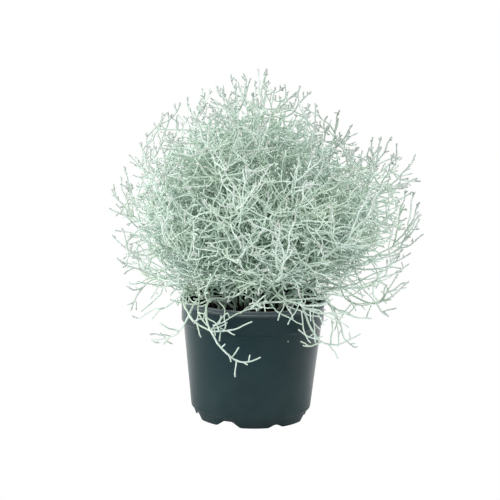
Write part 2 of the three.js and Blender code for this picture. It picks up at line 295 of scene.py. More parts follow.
@dataclass
class Framework:
    """The plant's main shoots, grown by the rule that the solid model follows."""

    outline: BushOutline = field(default_factory=BushOutline)
    room: PotRoom = field(default_factory=PotRoom)
    dome_stems: int = 28
    dome_root_radius: float = 27
    dome_lowest_rise: float = 13
    steep_share: float = 1.6
    turn_drift: float = 7
    rise_drift: float = 3
    front_lift: float = 8
    tip_fullness: Pair = (0.94, 0.995)
    steepest_rise: float = 89.0
    steepest_start: float = 86.0
    steepest_end: float = 84.0
    lean: float = 14
    sway: float = 22
    tip_sway: float = 30
    curl: Pair = (14, 34)
    handle: float = 0.36
    branches_per_stem: int = 7
    branch_span: Pair = (0.22, 0.96)
    branch_lengths: Pair = (108, 42)
    branch_jitter: float = 0.7
    hanging_height: float = 140
    hanging_branches: int = 3
    hanging_span: Pair = (0.16, 0.5)
    hanging_share: float = 0.6
    branch_angles: Pair = (32, 54)
    steepest_fall: float = -0.3
    branch_upturn: float = 0.75
    branch_outturn: float = 0.35
    leader_twigs: tuple[float, ...] = (0.84,)
    branch_twigs: tuple[tuple[float, ...], ...] = ((), (), (0.6,), ())
    twig_angles: Pair = (42, 72)
    twig_drift: Pair = (-0.06, 0.04)
    longest_twig: float = 19
    length_shares: Pair = (0.75, 1)
    shortening: float = 0.5
    stem_clearance: float = 0.6
    root_room: float = 4.5
    tries: int = 30
    test_count: int = 16
    leader_seeds: tuple[int, int] = (1009, 31)
    branch_seeds: tuple[int, int] = (20011, 53)
    twig_seeds: tuple[int, int] = (40009, 71)
    forms: dict[Order, FrameForm] = field(
        default_factory=lambda: {
            Order.LEADER: FrameForm(1.18, 7),
            Order.BRANCH: FrameForm(1.03, 3),
            Order.TWIG: FrameForm(1.0, 1),
        }
    )
    shoots: list[Shoot] = field(default_factory=list)

    def __post_init__(self) -> None:
        """Grows the leaders, then the placed shoots, the branches and the twigs."""
        self._starts: list[Array] = []
        self._ends: list[Array] = []
        self._radii: list[float] = []
        self._owners: list[int] = []
        self._grow_leaders()
        leaders = list(self.shoots)
        for number, along, ways in PLACED_SHOOTS:
            self._keep(self._placed_shoot(leaders[number - 1], along, ways))
        for host in leaders:
            self._grow_branches(host)
        for host in leaders:
            self._grow_twigs([shoot for shoot in self.of_stem(host.stem) if shoot.order is not Order.TWIG])

    def of_stem(self, stem: int) -> list[Shoot]:
        """Gives the shoots of one stem, leader first."""
        return [shoot for shoot in self.shoots if shoot.stem == stem]

    def _keep(self, shoot: Shoot) -> None:
        """Adds a shoot, with its steps, to those that later shoots stay clear of.

        Args:
            shoot: The shoot to add.
        """
        self.shoots.append(shoot)
        for start, end in zip(shoot.points[:-1], shoot.points[1:]):
            self._starts.append(start)
            self._ends.append(end)
            self._radii.append(self.forms[shoot.order].radius)
            self._owners.append(len(self.shoots) - 1)

    def _clears_shoots(self, shoot: Shoot) -> bool:
        """Tells whether a new shoot stays clear of all others, away from its own root.

        Args:
            shoot: The new shoot.

        Returns:
            Whether it is clear of them.
        """
        if not self.shoots:
            return True
        starts, ends = np.array(self._starts), np.array(self._ends)
        room = self.forms[shoot.order].radius + np.array(self._radii) + self.stem_clearance
        family = np.array(
            [
                other is shoot.host or (other.host is shoot.host and other.stem == shoot.stem)
                for other in self.shoots
            ]
        )[np.array(self._owners)]
        for step in range(1, len(shoot.points)):
            start, end = shoot.points[step - 1], shoot.points[step]
            near = np.broadcast_to(start, starts.shape).copy()
            if step == 1:
                near[family] = start + unit(end - start) * self.root_room
            if (stretch_gaps(near, end, starts, ends) < room).any():
                return False
        return True

    def _fits(self, shoot: Shoot) -> bool:
        """Tells whether a new shoot clears the pot and the other shoots and ends inside the bush.

        Args:
            shoot: The new shoot.

        Returns:
            Whether it fits.
        """
        first = 1 / self.forms[Order.LEADER].steps if shoot.order is Order.LEADER else 0
        shares = [mixed(first, 1, k / self.test_count) for k in range(1, self.test_count + 1)]
        places = np.array([shoot.point(share) for share in shares])
        if not self.room.clears(places).all() or self.outline.fullness(places[-1]) >= 1:
            return False
        return self._clears_shoots(shoot)

    def _leader(self, stem: int, arch: Array) -> Shoot:
        """Makes a leader that rises straight out of the soil and then follows its arch.

        Args:
            stem: The number of its stem.
            arch: The arch's control points, from the soil to the tip.

        Returns:
            The leader.
        """
        steps = self.forms[Order.LEADER].steps - 1
        points = stepped(arch, steps)
        foot = np.array([points[0][0], points[0][1], ROOT_FOOT])
        return Shoot(stem, Order.LEADER, np.vstack([foot, points]), arch)

    def _dome_arch(self, index: int, draw: SeededDraw) -> Array:
        """Gives the control points of a leader that arches from the crown to the bush's outside.

        Args:
            index: The stem's place in the dome, from the middle outwards.
            draw: The run of numbers.

        Returns:
            The root, two handles and the tip.
        """
        order = (index + 0.5) / self.dome_stems
        turn = index * GOLDEN_TURN + mixed(-self.turn_drift, self.turn_drift, draw())
        lowest = math.sin(math.radians(self.dome_lowest_rise))
        even = math.degrees(math.asin(1 - order**self.steep_share * (1 - lowest)))
        lift = self.front_lift * order * max(0.0, -math.sin(math.radians(turn)))
        rise = min(self.steepest_rise, even + lift + mixed(-self.rise_drift, self.rise_drift, draw()))
        root = direction(index * GOLDEN_TURN, 0) * self.dome_root_radius * math.sqrt(order)
        root[2] = SPROUT_HEIGHT
        tip = direction(turn, rise) * self.outline.reach(turn, rise) * mixed(*self.tip_fullness, draw())
        tip[2] += CROWN_HEIGHT
        handle = float(np.linalg.norm(tip - root)) * self.handle
        swayed = turn + mixed(-self.sway, self.sway, draw())
        first = direction(swayed, min(self.steepest_start, rise + self.lean))
        swayed = turn + mixed(-self.tip_sway, self.tip_sway, draw())
        last = direction(swayed, min(self.steepest_end, rise + mixed(*self.curl, draw())))
        return np.array([root, root + first * handle, tip - last * handle, tip])

    def _grow_leaders(self) -> None:
        """Grows the placed stems and then those of the dome."""
        for stem, places in enumerate(PLACED_STEMS):
            self._keep(self._leader(stem, np.array(places, float)))
        for index in range(self.dome_stems):
            draw = SeededDraw(*self.leader_seeds, index)
            for _ in range(self.tries):
                shoot = self._leader(len(PLACED_STEMS) + index, self._dome_arch(index, draw))
                if self._fits(shoot):
                    break
            self._keep(shoot)

    def _placed_shoot(self, host: Shoot, along: float, ways: tuple[tuple[float, ...], ...]) -> Shoot:
        """Makes a placed shoot: a straight twig for one way, a curved branch for two.

        Args:
            host: The shoot that it grows on.
            along: The share along the host.
            ways: The ways from its root to its handle, where it has one, and to its tip.

        Returns:
            The shoot.
        """
        root = host.point(along)
        control = np.array([root, *(root + np.array(way, float) for way in ways)])
        order = Order.TWIG if len(ways) == 1 else Order.BRANCH
        return Shoot(host.stem, order, stepped(control, self.forms[order].steps), control, host)

    def _branch_control(self, host: Shoot, along: float, length: float, draw: SeededDraw) -> Array:
        """Gives the control points of a branch that leaves its host and turns up and outward.

        Args:
            host: The shoot that it grows on.
            along: The share along the host.
            length: How long it is.
            draw: The run of numbers.

        Returns:
            The root, the handle and the tip.
        """
        root = host.point(along)
        leaving = sideways(host.tangent(along), 360 * draw(), mixed(*self.branch_angles, draw()))
        leaving[2] = max(leaving[2], self.steepest_fall)
        leaving = unit(leaving)
        outward = unit(np.array([root[0], root[1], 0.0]))
        ending = unit(leaving + UP * self.branch_upturn + outward * self.branch_outturn)
        middle = root + leaving * (length / 2)
        return np.array([root, middle, middle + ending * (length / 2)])

    def _twig_control(self, host: Shoot, along: float, length: float, draw: SeededDraw) -> Array:
        """Gives the two ends of a straight twig.

        Args:
            host: The shoot that it grows on.
            along: The share along the host.
            length: How long it is.
            draw: The run of numbers.

        Returns:
            The root and the tip.
        """
        root = host.point(along)
        leaving = sideways(host.tangent(along), 360 * draw(), mixed(*self.twig_angles, draw()))
        return np.array([root, root + leaving * length])

    def _sprout(self, host: Shoot, order: Order, along: float, longest: float, draw: SeededDraw) -> None:
        """Adds a shoot to a host where one fits.

        Args:
            host: The shoot that it grows on.
            order: Its order.
            along: The share along the host.
            longest: How long it may be.
            draw: The run of numbers.
        """
        route = self._branch_control if order is Order.BRANCH else self._twig_control
        for k in range(self.tries):
            length = longest * mixed(*self.length_shares, draw()) * (1 - self.shortening * k / self.tries)
            control = route(host, along, length, draw)
            shoot = Shoot(host.stem, order, stepped(control, self.forms[order].steps), control, host)
            if self._fits(shoot):
                self._keep(shoot)
                return

    def _grow_branches(self, host: Shoot) -> None:
        """Grows the branches of one leader.

        Args:
            host: The leader.
        """
        draw = SeededDraw(*self.branch_seeds, host.stem)
        hangs = host.points[-1][2] < self.hanging_height
        count = self.hanging_branches if hangs else self.branches_per_stem
        span = self.hanging_span if hangs else self.branch_span
        size = self.hanging_share if hangs else 1
        for k in range(count):
            along = mixed(*span, (k + draw() * self.branch_jitter) / count)
            self._sprout(host, Order.BRANCH, along, size * mixed(*self.branch_lengths, along), draw)

    def _grow_twigs(self, hosts: list[Shoot]) -> None:
        """Grows the twigs of one stem, on its leader and its branches.

        Args:
            hosts: The leader and the branches.
        """
        draw = SeededDraw(*self.twig_seeds, hosts[0].stem)
        for order, host in enumerate(hosts):
            on_leader = host.order is Order.LEADER
            places = self.leader_twigs if on_leader else self.branch_twigs[order % len(self.branch_twigs)]
            for place in places:
                along = place + mixed(*self.twig_drift, draw())
                self._sprout(host, Order.TWIG, along, self.longest_twig, draw)


def stretch_gaps(a: Array, b: Array, c: Array, d: Array) -> Array:
    """Gives the shortest way between the straight stretches from a to b and from c to d, row by row.

    Args:
        a: Where the first stretches start.
        b: Where they end.
        c: Where the second stretches start.
        d: Where they end.

    Returns:
        The length of the shortest way, for each row.
    """
    ab, cd, ca = b - a, d - c, a - c
    ab_square, cd_square = (ab * ab).sum(-1), (cd * cd).sum(-1)
    across, ab_lag, cd_lag = (ab * cd).sum(-1), (ab * ca).sum(-1), (cd * ca).sum(-1)
    spread = ab_square * cd_square - across * across
    slanted = spread > NEARLY_NONE
    safe = np.where(slanted, spread, 1.0)
    s = np.clip(np.where(slanted, (across * cd_lag - ab_lag * cd_square) / safe, 0.0), 0, 1)
    t = (across * s + cd_lag) / cd_square
    s = np.where(t < 0, np.clip(-ab_lag / ab_square, 0, 1), s)
    s = np.where(t > 1, np.clip((across - ab_lag) / ab_square, 0, 1), s)
    t = np.clip(t, 0, 1)
    return np.linalg.norm(ca + ab * s[:, None] - cd * t[:, None], axis=-1)


def turned_about(vectors: Array, axis: Array, angles: Array) -> Array:
    """Turns vectors about a unit axis.

    Args:
        vectors: The vectors, with shape (..., 3).
        axis: The axis, with a shape that broadcasts to theirs.
        angles: The angles in radians, with shape (...).

    Returns:
        The turned vectors.
    """
    cos, sin = np.cos(angles)[..., None], np.sin(angles)[..., None]
    along = (vectors * axis).sum(-1, keepdims=True) * axis
    return vectors * cos + np.cross(axis, vectors) * sin + along * (1 - cos)


def sideways(tangent: Array, roll: float, angle: float) -> Array:
    """Gives a side direction at an angle to a shoot, turned round it by a roll, in degrees."""
    across = turned_about(unit(np.cross(tangent, UP)), tangent, np.radians(np.array(roll)))
    return tangent * math.cos(math.radians(angle)) + across * math.sin(math.radians(angle))


@dataclass(eq=False)
class Wire:
    """The centre line of one fine shoot, with its thickness from root to tip and its darkening for older
    wood and painted shade.
    """

    order: Order
    line: Array
    radii: Pair
    ages: Pair
    stem: int
    ident: int
    host: "Wire | None" = None

    @property
    def length(self) -> float:
        """The length along the centre line."""
        return float(np.linalg.norm(np.diff(self.line, axis=0), axis=1).sum())

    def tangent(self, index: int) -> Array:
        """Gives the direction of the line at one of its points."""
        return unit(self.line[min(index + 1, len(self.line) - 1)] - self.line[max(index - 1, 0)])


@dataclass(frozen=True)
class FineStyle:
    """How one order of fine shoots grows on its hosts.

    The spacing is the way between the places where one may grow, and pairs is the share of places with a
    second one on the other side. Spans are shares of the host, and lengths and thicknesses run from its
    root to its tip. Upturn, outturn and drift bend a shoot upwards, outwards and any way, and the bow is
    how far its middle swings out, as a share of its length. Spread is how far shoots near the outside of
    the bush's body turn to run along it. Crowding is how much stem may already be round a new shoot.
    """

    spacing: float
    pairs: float
    span: Pair
    lengths: Pair
    angles: Pair
    upturn: float
    outturn: float
    drift: float
    bow: float
    spread: float
    radii: Pair
    shortest: float
    crowding: float


# The orders of fine shoots, in the order that they grow in, and the orders that each grows on
HOST_ORDERS = {
    Order.BRANCH: (Order.LEADER,),
    Order.SIDE: (Order.LEADER, Order.BRANCH),
    Order.TWIG: (Order.LEADER, Order.BRANCH, Order.SIDE),
}


# The tips that stand out of the bush against the background, seen from the front, going round from the left
PLACED_TIPS = (
    (-89, -14, 68),
    (-108, -8, 90),
    (-112, 6, 117),
    (-119, -10, 141),
    (-127, 4, 161),
    (-129, -6, 188),
    (-126, 8, 207),
    (-120, -8, 216),
    (-113, 5, 234),
    (-103, -5, 247),
    (-97, 8, 254),
    (-85, -6, 267),
    (-68, 5, 282),
    (-46, -8, 293),
    (-35, 6, 297),
    (-12, -4, 310),
    (6, 3, 313),
    (26, -6, 295),
    (37, 5, 299),
    (46, -8, 285),
    (61, 6, 273),
    (73, -5, 260),
    (88, 4, 246),
    (100, -6, 247),
    (110, 6, 255),
    (119, -4, 257),
    (141, 5, 240),
    (131, -8, 215),
    (134, 6, 207),
    (147, -4, 198),
    (147, 5, 184),
    (138, -6, 170),
    (133, 6, 154),
    (130, -8, 133),
    (136, -4, 125),
    (94, -24, 71),
)


# Fine sprigs placed one by one round the rim's front, each by its control points, from near the shoot that
# it grows on to its tip
PLACED_SPRIGS = (
    ((4, -66, 110), (-9, -72, 112), (-21, -76, 105), (-34, -77, 98)),
    ((8, -60, 120), (-1, -64, 117), (-6, -67, 114), (-11, -73, 110)),
    ((-28, -60, 119), (-36, -62, 117), (-41, -62, 113), (-47, -62, 113)),
    ((-62, -36, 114), (-53, -46, 115), (-55, -56, 113), (-42, -60, 117)),
    ((-47, -52, 119), (-46, -60, 113), (-47, -66, 107), (-50, -72, 99)),
    ((-48, -66, 108), (-44, -68, 108), (-40, -69, 108)),
    ((-51, -66, 109), (-45, -70, 103), (-39, -74, 99)),
    ((-67, -22, 108), (-63, -35, 106), (-57, -48, 104), (-53, -58, 98)),
    ((-28, -66, 115), (-23, -68, 112), (-20, -70, 105)),
    ((-29, -78, 101), (-28, -78, 105), (-27, -77, 109)),
    ((-34, -72, 107), (-30, -76, 103), (-29, -78, 95)),
    ((27, -66, 120), (25, -70, 112), (22, -72, 104)),
    ((13, -66, 118), (24, -72, 108), (31, -72, 106), (44, -68, 100)),
    ((29, -66, 118), (33, -68, 111), (36, -68, 105)),
    ((43, -62, 120), (38, -68, 114), (35, -70, 108), (31, -71, 100)),
    ((29, -64, 117), (39, -68, 110), (49, -64, 109), (60, -54, 102)),
    ((43, -66, 113), (43, -70, 100), (44, -70, 89), (51, -66, 83)),
    ((51, -50, 116), (52, -58, 104), (53, -64, 94), (55, -64, 83)),
    ((52, -60, 101), (55, -60, 97), (59, -56, 93)),
    ((77, -24, 100), (76, -30, 91), (72, -40, 89)),
    ((58, -14, 112), (65, -14, 103), (81, -14, 98), (103, -14, 95)),
    ((72, -14, 101), (74, -16, 97), (76, -17, 91)),
    ((85, -14, 98), (89, -18, 102), (91, -20, 108)),
    ((101, -14, 95), (102, -14, 100), (105, -14, 107)),
    ((60, -24, 116), (78, -26, 112), (92, -24, 118), (108, -24, 126)),
    ((83, -25, 115), (88, -28, 111), (91, -30, 104)),
    ((84, -8, 106), (97, -10, 102), (109, -10, 108), (120, -10, 112)),
    ((64, -34, 110), (73, -36, 101), (78, -34, 88), (76, -32, 72)),
    ((-60, -28, 114), (-72, -28, 110), (-82, -24, 100), (-90, -18, 90)),
)


class Thicket:
    """The space that the fine shoots fill, in small cells that each know which shoot passes there."""

    low = np.array([-155.0, -155.0, 36.0])
    high = np.array([165.0, 155.0, 330.0])
    cell = 1.25
    crowd_cell = 9.0

    def __init__(self) -> None:
        """Starts with empty cells."""
        size = np.ceil((self.high - self.low) / self.cell).astype(int)
        crowd_size = np.ceil((self.high - self.low) / self.crowd_cell).astype(int)
        self.owner = np.zeros(size, np.int32)
        self.crowd = np.zeros(crowd_size, np.float32)
        faces = [(0, 0, 0), (1, 0, 0), (-1, 0, 0), (0, 1, 0), (0, -1, 0), (0, 0, 1), (0, 0, -1)]
        self.faces = np.array(faces)
        self.block = np.stack(np.meshgrid(*[(-1, 0, 1)] * 3), -1).reshape(-1, 3)

    def _cells(self, points: Array, cell: float, size: tuple[int, ...]) -> tuple[Array, ...]:
        """Gives the cell of each point, as one array of places for each axis."""
        places = np.floor((points - self.low) / cell).astype(int)
        return tuple(np.moveaxis(np.clip(places, 0, np.array(size) - 1), -1, 0))

    def add(self, wire: Wire) -> None:
        """Marks the cells along a wire as taken.

        Args:
            wire: The wire.
        """
        taken = wire.line[:, None, :] + self.faces * self.cell
        cells = self._cells(taken, self.cell, self.owner.shape)
        free = self.owner[cells] == 0
        self.owner[tuple(axis[free] for axis in cells)] = wire.ident
        around = wire.line[:, None, :] + self.block * self.crowd_cell
        np.add.at(self.crowd, self._cells(around, self.crowd_cell, self.crowd.shape), 1.0)

    def blocked(self, points: Array, friend: int) -> Array:
        """Tells which points lie in a cell that a shoot other than the friend has taken."""
        owner = self.owner[self._cells(points, self.cell, self.owner.shape)]
        return (owner != 0) & (owner != friend)

    def crowding(self, points: Array) -> Array:
        """Gives how much stem there is round each point."""
        return self.crowd[self._cells(points, self.crowd_cell, self.crowd.shape)]


@dataclass
class FinePlant:
    """The plant's fine shoots: the main ones of the framework, and those that fill the bush between them.

    The body is the dense part of the bush, and beyond it shoots thin out towards the outline. Shares by
    fullness are pairs of a fullness of the body and a value, between which the value changes evenly.
    """

    framework: Framework = field(default_factory=Framework)
    body: BushOutline = field(
        default_factory=lambda: BushOutline(
            rises=(-30, 0, 20, 30, 40, 60, 90),
            left=(44, 52, 74, 108, 134, 163, 191),
            right=(48, 52, 88, 144, 160, 158, 188),
        )
    )
    seed: int = 7
    step: float = 1.5
    tries: int = 18
    curve_points: int = 90
    foot_points: int = 14
    clear_start: float = 3.0
    pot_slack: float = 1.5
    whole_share: float = 0.55
    snap_length: float = 14.0
    bare_foot: float = 30.0
    low_height: float = 130.0
    low_radius: float = 80.0
    low_share: float = 0.5
    hanging_share: float = 0.3
    lowest: Pair = (102.0, 132.0)
    body_edge: Pair = (0.86, 1.08)
    outline_edge: Pair = (0.9, 0.99)
    escape_share: float = 0.16
    escape_outturn: float = 0.7
    skirt_height: float = 168.0
    skirt_share: float = 0.15
    skirt_twigs: float = 0.3
    wobble: float = 0.018
    waves: Pair = (0.8, 2.2)
    wave_length: float = 70.0
    widest_wobble: float = 90.0
    kink: float = 0.5
    kink_spacing: float = 7.5
    kinked_points: int = 10
    tip_reach: Pair = (26.0, 62.0)
    reach_drift: float = 0.3
    reach_outturn: float = 0.4
    reach_upturn: float = 0.5
    reach_handles: Pair = (0.4, 0.3)
    nearness: float = 0.004
    shortest_host: float = 9.0
    full_host: float = 60.0
    small_host_share: float = 0.35
    place_drift: Pair = (0.1, 0.9)
    length_shares: Pair = (0.6, 1.1)
    roll_drift: float = 50.0
    turning: Pair = (0.3, 1.5)
    handles: Pair = (0.45, 0.55)
    crowd_weight: float = 0.0016
    thinning: tuple[Pair, ...] = ((0.7, 1.0), (0.9, 0.75), (1.0, 0.5), (1.1, 0.22))
    twigging: tuple[Pair, ...] = ((0.5, 0.1), (0.8, 0.35), (1.0, 0.75), (1.15, 1.0))
    spreading: tuple[Pair, ...] = ((0.4, 0.1), (0.66, 1.0), (0.95, 1.0), (1.05, 0.4))
    # How dark stems turn by how deep in the body they lie: partly older wood, partly painted shade inside
    # the bush
    ageing_and_shading: tuple[Pair, ...] = ((0.1, 1.0), (0.45, 0.72), (0.7, 0.36), (0.9, 0.1), (1.1, 0.02))
    crown: Array = field(default_factory=lambda: np.array([0.0, 0.0, 118.0]))
    frame_radii: dict[Order, Pair] = field(
        default_factory=lambda: {
            Order.LEADER: (1.35, 0.58),
            Order.BRANCH: (0.8, 0.57),
            Order.TWIG: (0.62, 0.58),
        }
    )
    styles: dict[Order, FineStyle] = field(
        default_factory=lambda: {
            Order.BRANCH: FineStyle(
                spacing=19, pairs=0.0, span=(0.12, 0.9), lengths=(96, 40), angles=(35, 82),
                upturn=0.3, outturn=0.25, drift=0.4, bow=0.16, spread=0.65,
                radii=(0.76, 0.6), shortest=20, crowding=380,
            ),
            Order.SIDE: FineStyle(
                spacing=7, pairs=0.45, span=(0.12, 0.96), lengths=(66, 28), angles=(40, 95),
                upturn=0.12, outturn=0.15, drift=0.5, bow=0.18, spread=0.95,
                radii=(0.63, 0.53), shortest=9, crowding=590,
            ),
            Order.TWIG: FineStyle(
                spacing=10, pairs=0.15, span=(0.2, 0.95), lengths=(12, 6), angles=(42, 82),
                upturn=0.35, outturn=0.3, drift=0.25, bow=0.05, spread=0.0,
                radii=(0.56, 0.51), shortest=3, crowding=520,
            ),
        }
    )
    wires: list[Wire] = field(default_factory=list)

    def __post_init__(self) -> None:
        """Lays the framework's shoots and the placed ones, and then fills the bush order by order."""
        self.draw = np.random.default_rng(self.seed)
        self.thicket = Thicket()
        laid: dict[int, Wire] = {}
        for shoot in self.framework.shoots:
            laid[id(shoot)] = self._lay(shoot, laid)
        for sprig in PLACED_SPRIGS:
            self._hang(np.array(sprig, float))
        for tip in PLACED_TIPS:
            self._reach(np.array(tip, float))
        for order in HOST_ORDERS:
            hosts = [wire for wire in self.wires if self._carries(wire, order)]
            for host in hosts:
                self._fill(host, order)

    def of_stem(self, stem: int) -> list[Wire]:
        """Gives the wires of one stem."""
        return [wire for wire in self.wires if wire.stem == stem]

    def _carries(self, host: Wire, order: Order) -> bool:
        """Tells whether shoots of an order grow on a host."""
        return host.order in HOST_ORDERS[order] and host.length > self.shortest_host

    def _by_fullness(self, shares: tuple[Pair, ...], point: Array) -> float:
        """Gives the value that changes with how far out in the bush's body a point lies."""
        marks, values = zip(*shares)
        return float(np.interp(self.body.fullness(point), marks, values))

    def _keep(self, order: Order, line: Array, radii: Pair, stem: int, host: Wire | None) -> Wire:
        """Adds a wire to the plant.

        Args:
            order: The wire's order.
            line: Its centre line.
            radii: Its thickness at its root and its tip.
            stem: The stem that it belongs to.
            host: The wire that it grows on.

        Returns:
            The new wire.
        """
        # The darkening at the wire's ends, by depth in the body: older wood and painted shade
        ages = (self._by_fullness(self.ageing_and_shading, line[0]), self._by_fullness(self.ageing_and_shading, line[-1]))
        wire = Wire(order, line, radii, ages, stem, len(self.wires) + 1, host)
        self.wires.append(wire)
        self.thicket.add(wire)
        return wire

    def _even(self, line: Array) -> Array:
        """Places a line's points evenly along it.

        Args:
            line: The line.

        Returns:
            The line with even points.
        """
        reached = np.concatenate([[0.0], np.cumsum(np.linalg.norm(np.diff(line, axis=0), axis=1))])
        count = max(3, round(reached[-1] / self.step) + 1)
        places = np.linspace(0.0, reached[-1], count)
        return np.stack([np.interp(places, reached, line[:, axis]) for axis in range(3)], -1)

    def _wobbled(self, lines: Array) -> Array:
        """Gives lines the small unevenness of grown shoots, with their roots left in place.

        Args:
            lines: The centre lines, with shape (count, points, 3).

        Returns:
            The uneven lines.
        """
        count, size = lines.shape[:2]
        chord = lines[:, -1] - lines[:, 0]
        length = np.linalg.norm(chord, axis=-1)[:, None, None]
        across = unit(np.cross(chord, self.draw.normal(size=(count, 3))))
        second = unit(np.cross(chord, across))
        shares = np.linspace(0, 1, size)[None, :]
        swing = np.zeros((count, size, 3))
        for side in (across, second):
            waves = self.draw.uniform(*self.waves, (count, 1))
            waves = waves * np.maximum(1.0, length[:, 0] / self.wave_length)
            phase = self.draw.uniform(0, 2 * np.pi, (count, 1))
            shift = np.sin(2 * np.pi * waves * shares + phase) - np.sin(phase)
            swing += shift[..., None] * side[:, None, :]
        return lines + swing * self.wobble * np.minimum(length, self.widest_wobble)

    def _kinked(self, line: Array) -> Array:
        """Bends a line a little to and fro, as where shoots leave it in turn.

        Args:
            line: The centre line, whose root stays in place.

        Returns:
            The bent line.
        """
        nodes = max(2, round(len(line) * self.step / self.kink_spacing))
        turns = np.radians(GOLDEN_TURN) * np.arange(nodes + 1) + self.draw.uniform(0, 2 * np.pi)
        chord = unit(line[-1] - line[0])
        across = unit(np.cross(chord, SLANT))
        second = np.cross(chord, across)
        shifts = np.cos(turns)[:, None] * across + np.sin(turns)[:, None] * second
        shifts[0] = 0
        places, marks = np.linspace(0, nodes, len(line)), np.arange(nodes + 1)
        bends = np.stack([np.interp(places, marks, shifts[:, axis]) for axis in range(3)], -1)
        return line + self.kink * bends

    def _curved(self, control: Array) -> Array:
        """Gives the centre line of a shoot along a curve, a little uneven."""
        line = self._even(bezier(control, np.linspace(0, 1, self.curve_points)))
        return self._wobbled(line[None])[0]

    def _lay(self, shoot: Shoot, laid: dict[int, Wire]) -> Wire:
        """Lays the fine centre line of one shoot of the framework, with its root on its host's own line.

        Args:
            shoot: The shoot.
            laid: The wires laid so far, by the identity of their shoots.

        Returns:
            The new wire.
        """
        line = self._curved(shoot.control)
        host = laid.get(id(shoot.host))
        if shoot.order is Order.LEADER:
            foot = [line[0][0], line[0][1], ROOT_FOOT]
            line = np.vstack([np.linspace(foot, line[0], self.foot_points)[:-1], line])
        else:
            line = self._snapped(line, host)
        if shoot.order is not Order.TWIG:
            line = self._kinked(line)
        return self._keep(shoot.order, line, self.frame_radii[shoot.order], shoot.stem, host)

    def _snapped(self, line: Array, host: Wire) -> Array:
        """Moves the root of a line onto its host, and the rest of it less and less.

        Args:
            line: The line.
            host: The wire that it grows on.

        Returns:
            The moved line.
        """
        nearest = host.line[np.argmin(np.linalg.norm(host.line - line[0], axis=1))]
        far = np.arange(len(line)) * self.step / self.snap_length
        return line + (nearest - line[0]) * np.clip(1 - far, 0, 1)[:, None] ** 2

    def _hang(self, control: Array) -> None:
        """Grows a placed sprig, rooted at the nearest place on any shoot to its first point.

        Args:
            control: The sprig's control points, from its root to its tip.
        """
        gaps = [float(np.linalg.norm(wire.line - control[0], axis=1).min()) for wire in self.wires]
        host = self.wires[int(np.argmin(gaps))]
        root = host.line[np.argmin(np.linalg.norm(host.line - control[0], axis=1))]
        line = self._kinked(self._curved(np.vstack([root, control[1:]])))
        self._keep(Order.BRANCH, line, self.styles[Order.SIDE].radii, host.stem, host)

    def _reach(self, tip: Array) -> None:
        """Grows a branch to a placed tip, from the shoot whose own direction leads there best.

        Args:
            tip: The placed tip.
        """
        best, chosen, place = -1.0, None, 0
        for wire in self.wires:
            if wire.order is Order.TWIG:
                continue
            way = tip - wire.line
            length = np.linalg.norm(way, axis=1)
            tangents = unit(np.gradient(wire.line, axis=0))
            leads = (way * tangents).sum(axis=1) / length - self.nearness * length
            leads[(length < self.tip_reach[0]) | (length > self.tip_reach[1])] = -1.0
            if leads.max() > best:
                best, chosen, place = leads.max(), wire, int(leads.argmax())
        if chosen is None:
            return
        root = chosen.line[place]
        length = float(np.linalg.norm(tip - root))
        outward = unit(tip - self.crown)
        first, last = self.draw.normal(0, self.reach_drift, (2, 3))
        leaving = unit(chosen.tangent(place) + outward * self.reach_outturn + first)
        ending = unit(outward + UP * self.reach_upturn + last)
        leaves = root + leaving * length * self.reach_handles[0]
        arrives = tip - ending * length * self.reach_handles[1]
        line = self._kinked(self._curved(np.array([root, leaves, arrives, tip])))
        self._keep(Order.BRANCH, line, self.styles[Order.BRANCH].radii, chosen.stem, chosen)

    def _chance(self, order: Order, point: Array) -> float:
        """Gives how likely a place on a shoot carries another: less so low down and beyond the body.

        Args:
            order: The order of the new shoot.
            point: The place.

        Returns:
            The chance, from 0 to 1.
        """
        below = point[2] < POT_HEIGHT
        near_rim = point[2] < self.low_height and math.hypot(point[0], point[1]) < self.low_radius
        chance = self.low_share if near_rim else 1.0
        if not near_rim and not below and self.body.fullness(point) > 1:
            rise = min(1.0, (point[2] - POT_HEIGHT) / (self.skirt_height - POT_HEIGHT))
            chance = mixed(self.skirt_twigs if order is Order.TWIG else self.skirt_share, 1.0, rise)
        if order is Order.TWIG:
            hanging = self.hanging_share if below else 1.0
            return chance * hanging * self._by_fullness(self.twigging, point)
        return 0.0 if below else chance * self._by_fullness(self.thinning, point)

    def _fill(self, host: Wire, order: Order) -> None:
        """Grows new shoots of one order along a host, where there is room for them.

        Args:
            host: The wire that they grow on.
            order: Their order.
        """
        style = self.styles[order]
        length = host.length
        first, last = (share * length for share in style.span)
        if host.order is Order.LEADER:
            first = max(first, self.bare_foot)
        count = max(1, round((last - first) / style.spacing)) if last > first else 0
        roll = self.draw.uniform(0, 360)
        for k in range(count):
            place = first + (k + self.draw.uniform(*self.place_drift)) * (last - first) / count
            index = min(len(host.line) - 2, max(1, round(place / length * (len(host.line) - 1))))
            roll += GOLDEN_TURN
            if self.draw.random() > self._chance(order, host.line[index]):
                continue
            size = min(1.0, host.length / self.full_host + self.small_host_share)
            longest = mixed(*style.lengths, place / length) * size
            self._sprout(host, order, index, longest, roll)
            if self.draw.random() < style.pairs:
                self._sprout(host, order, index, longest, roll + 180)

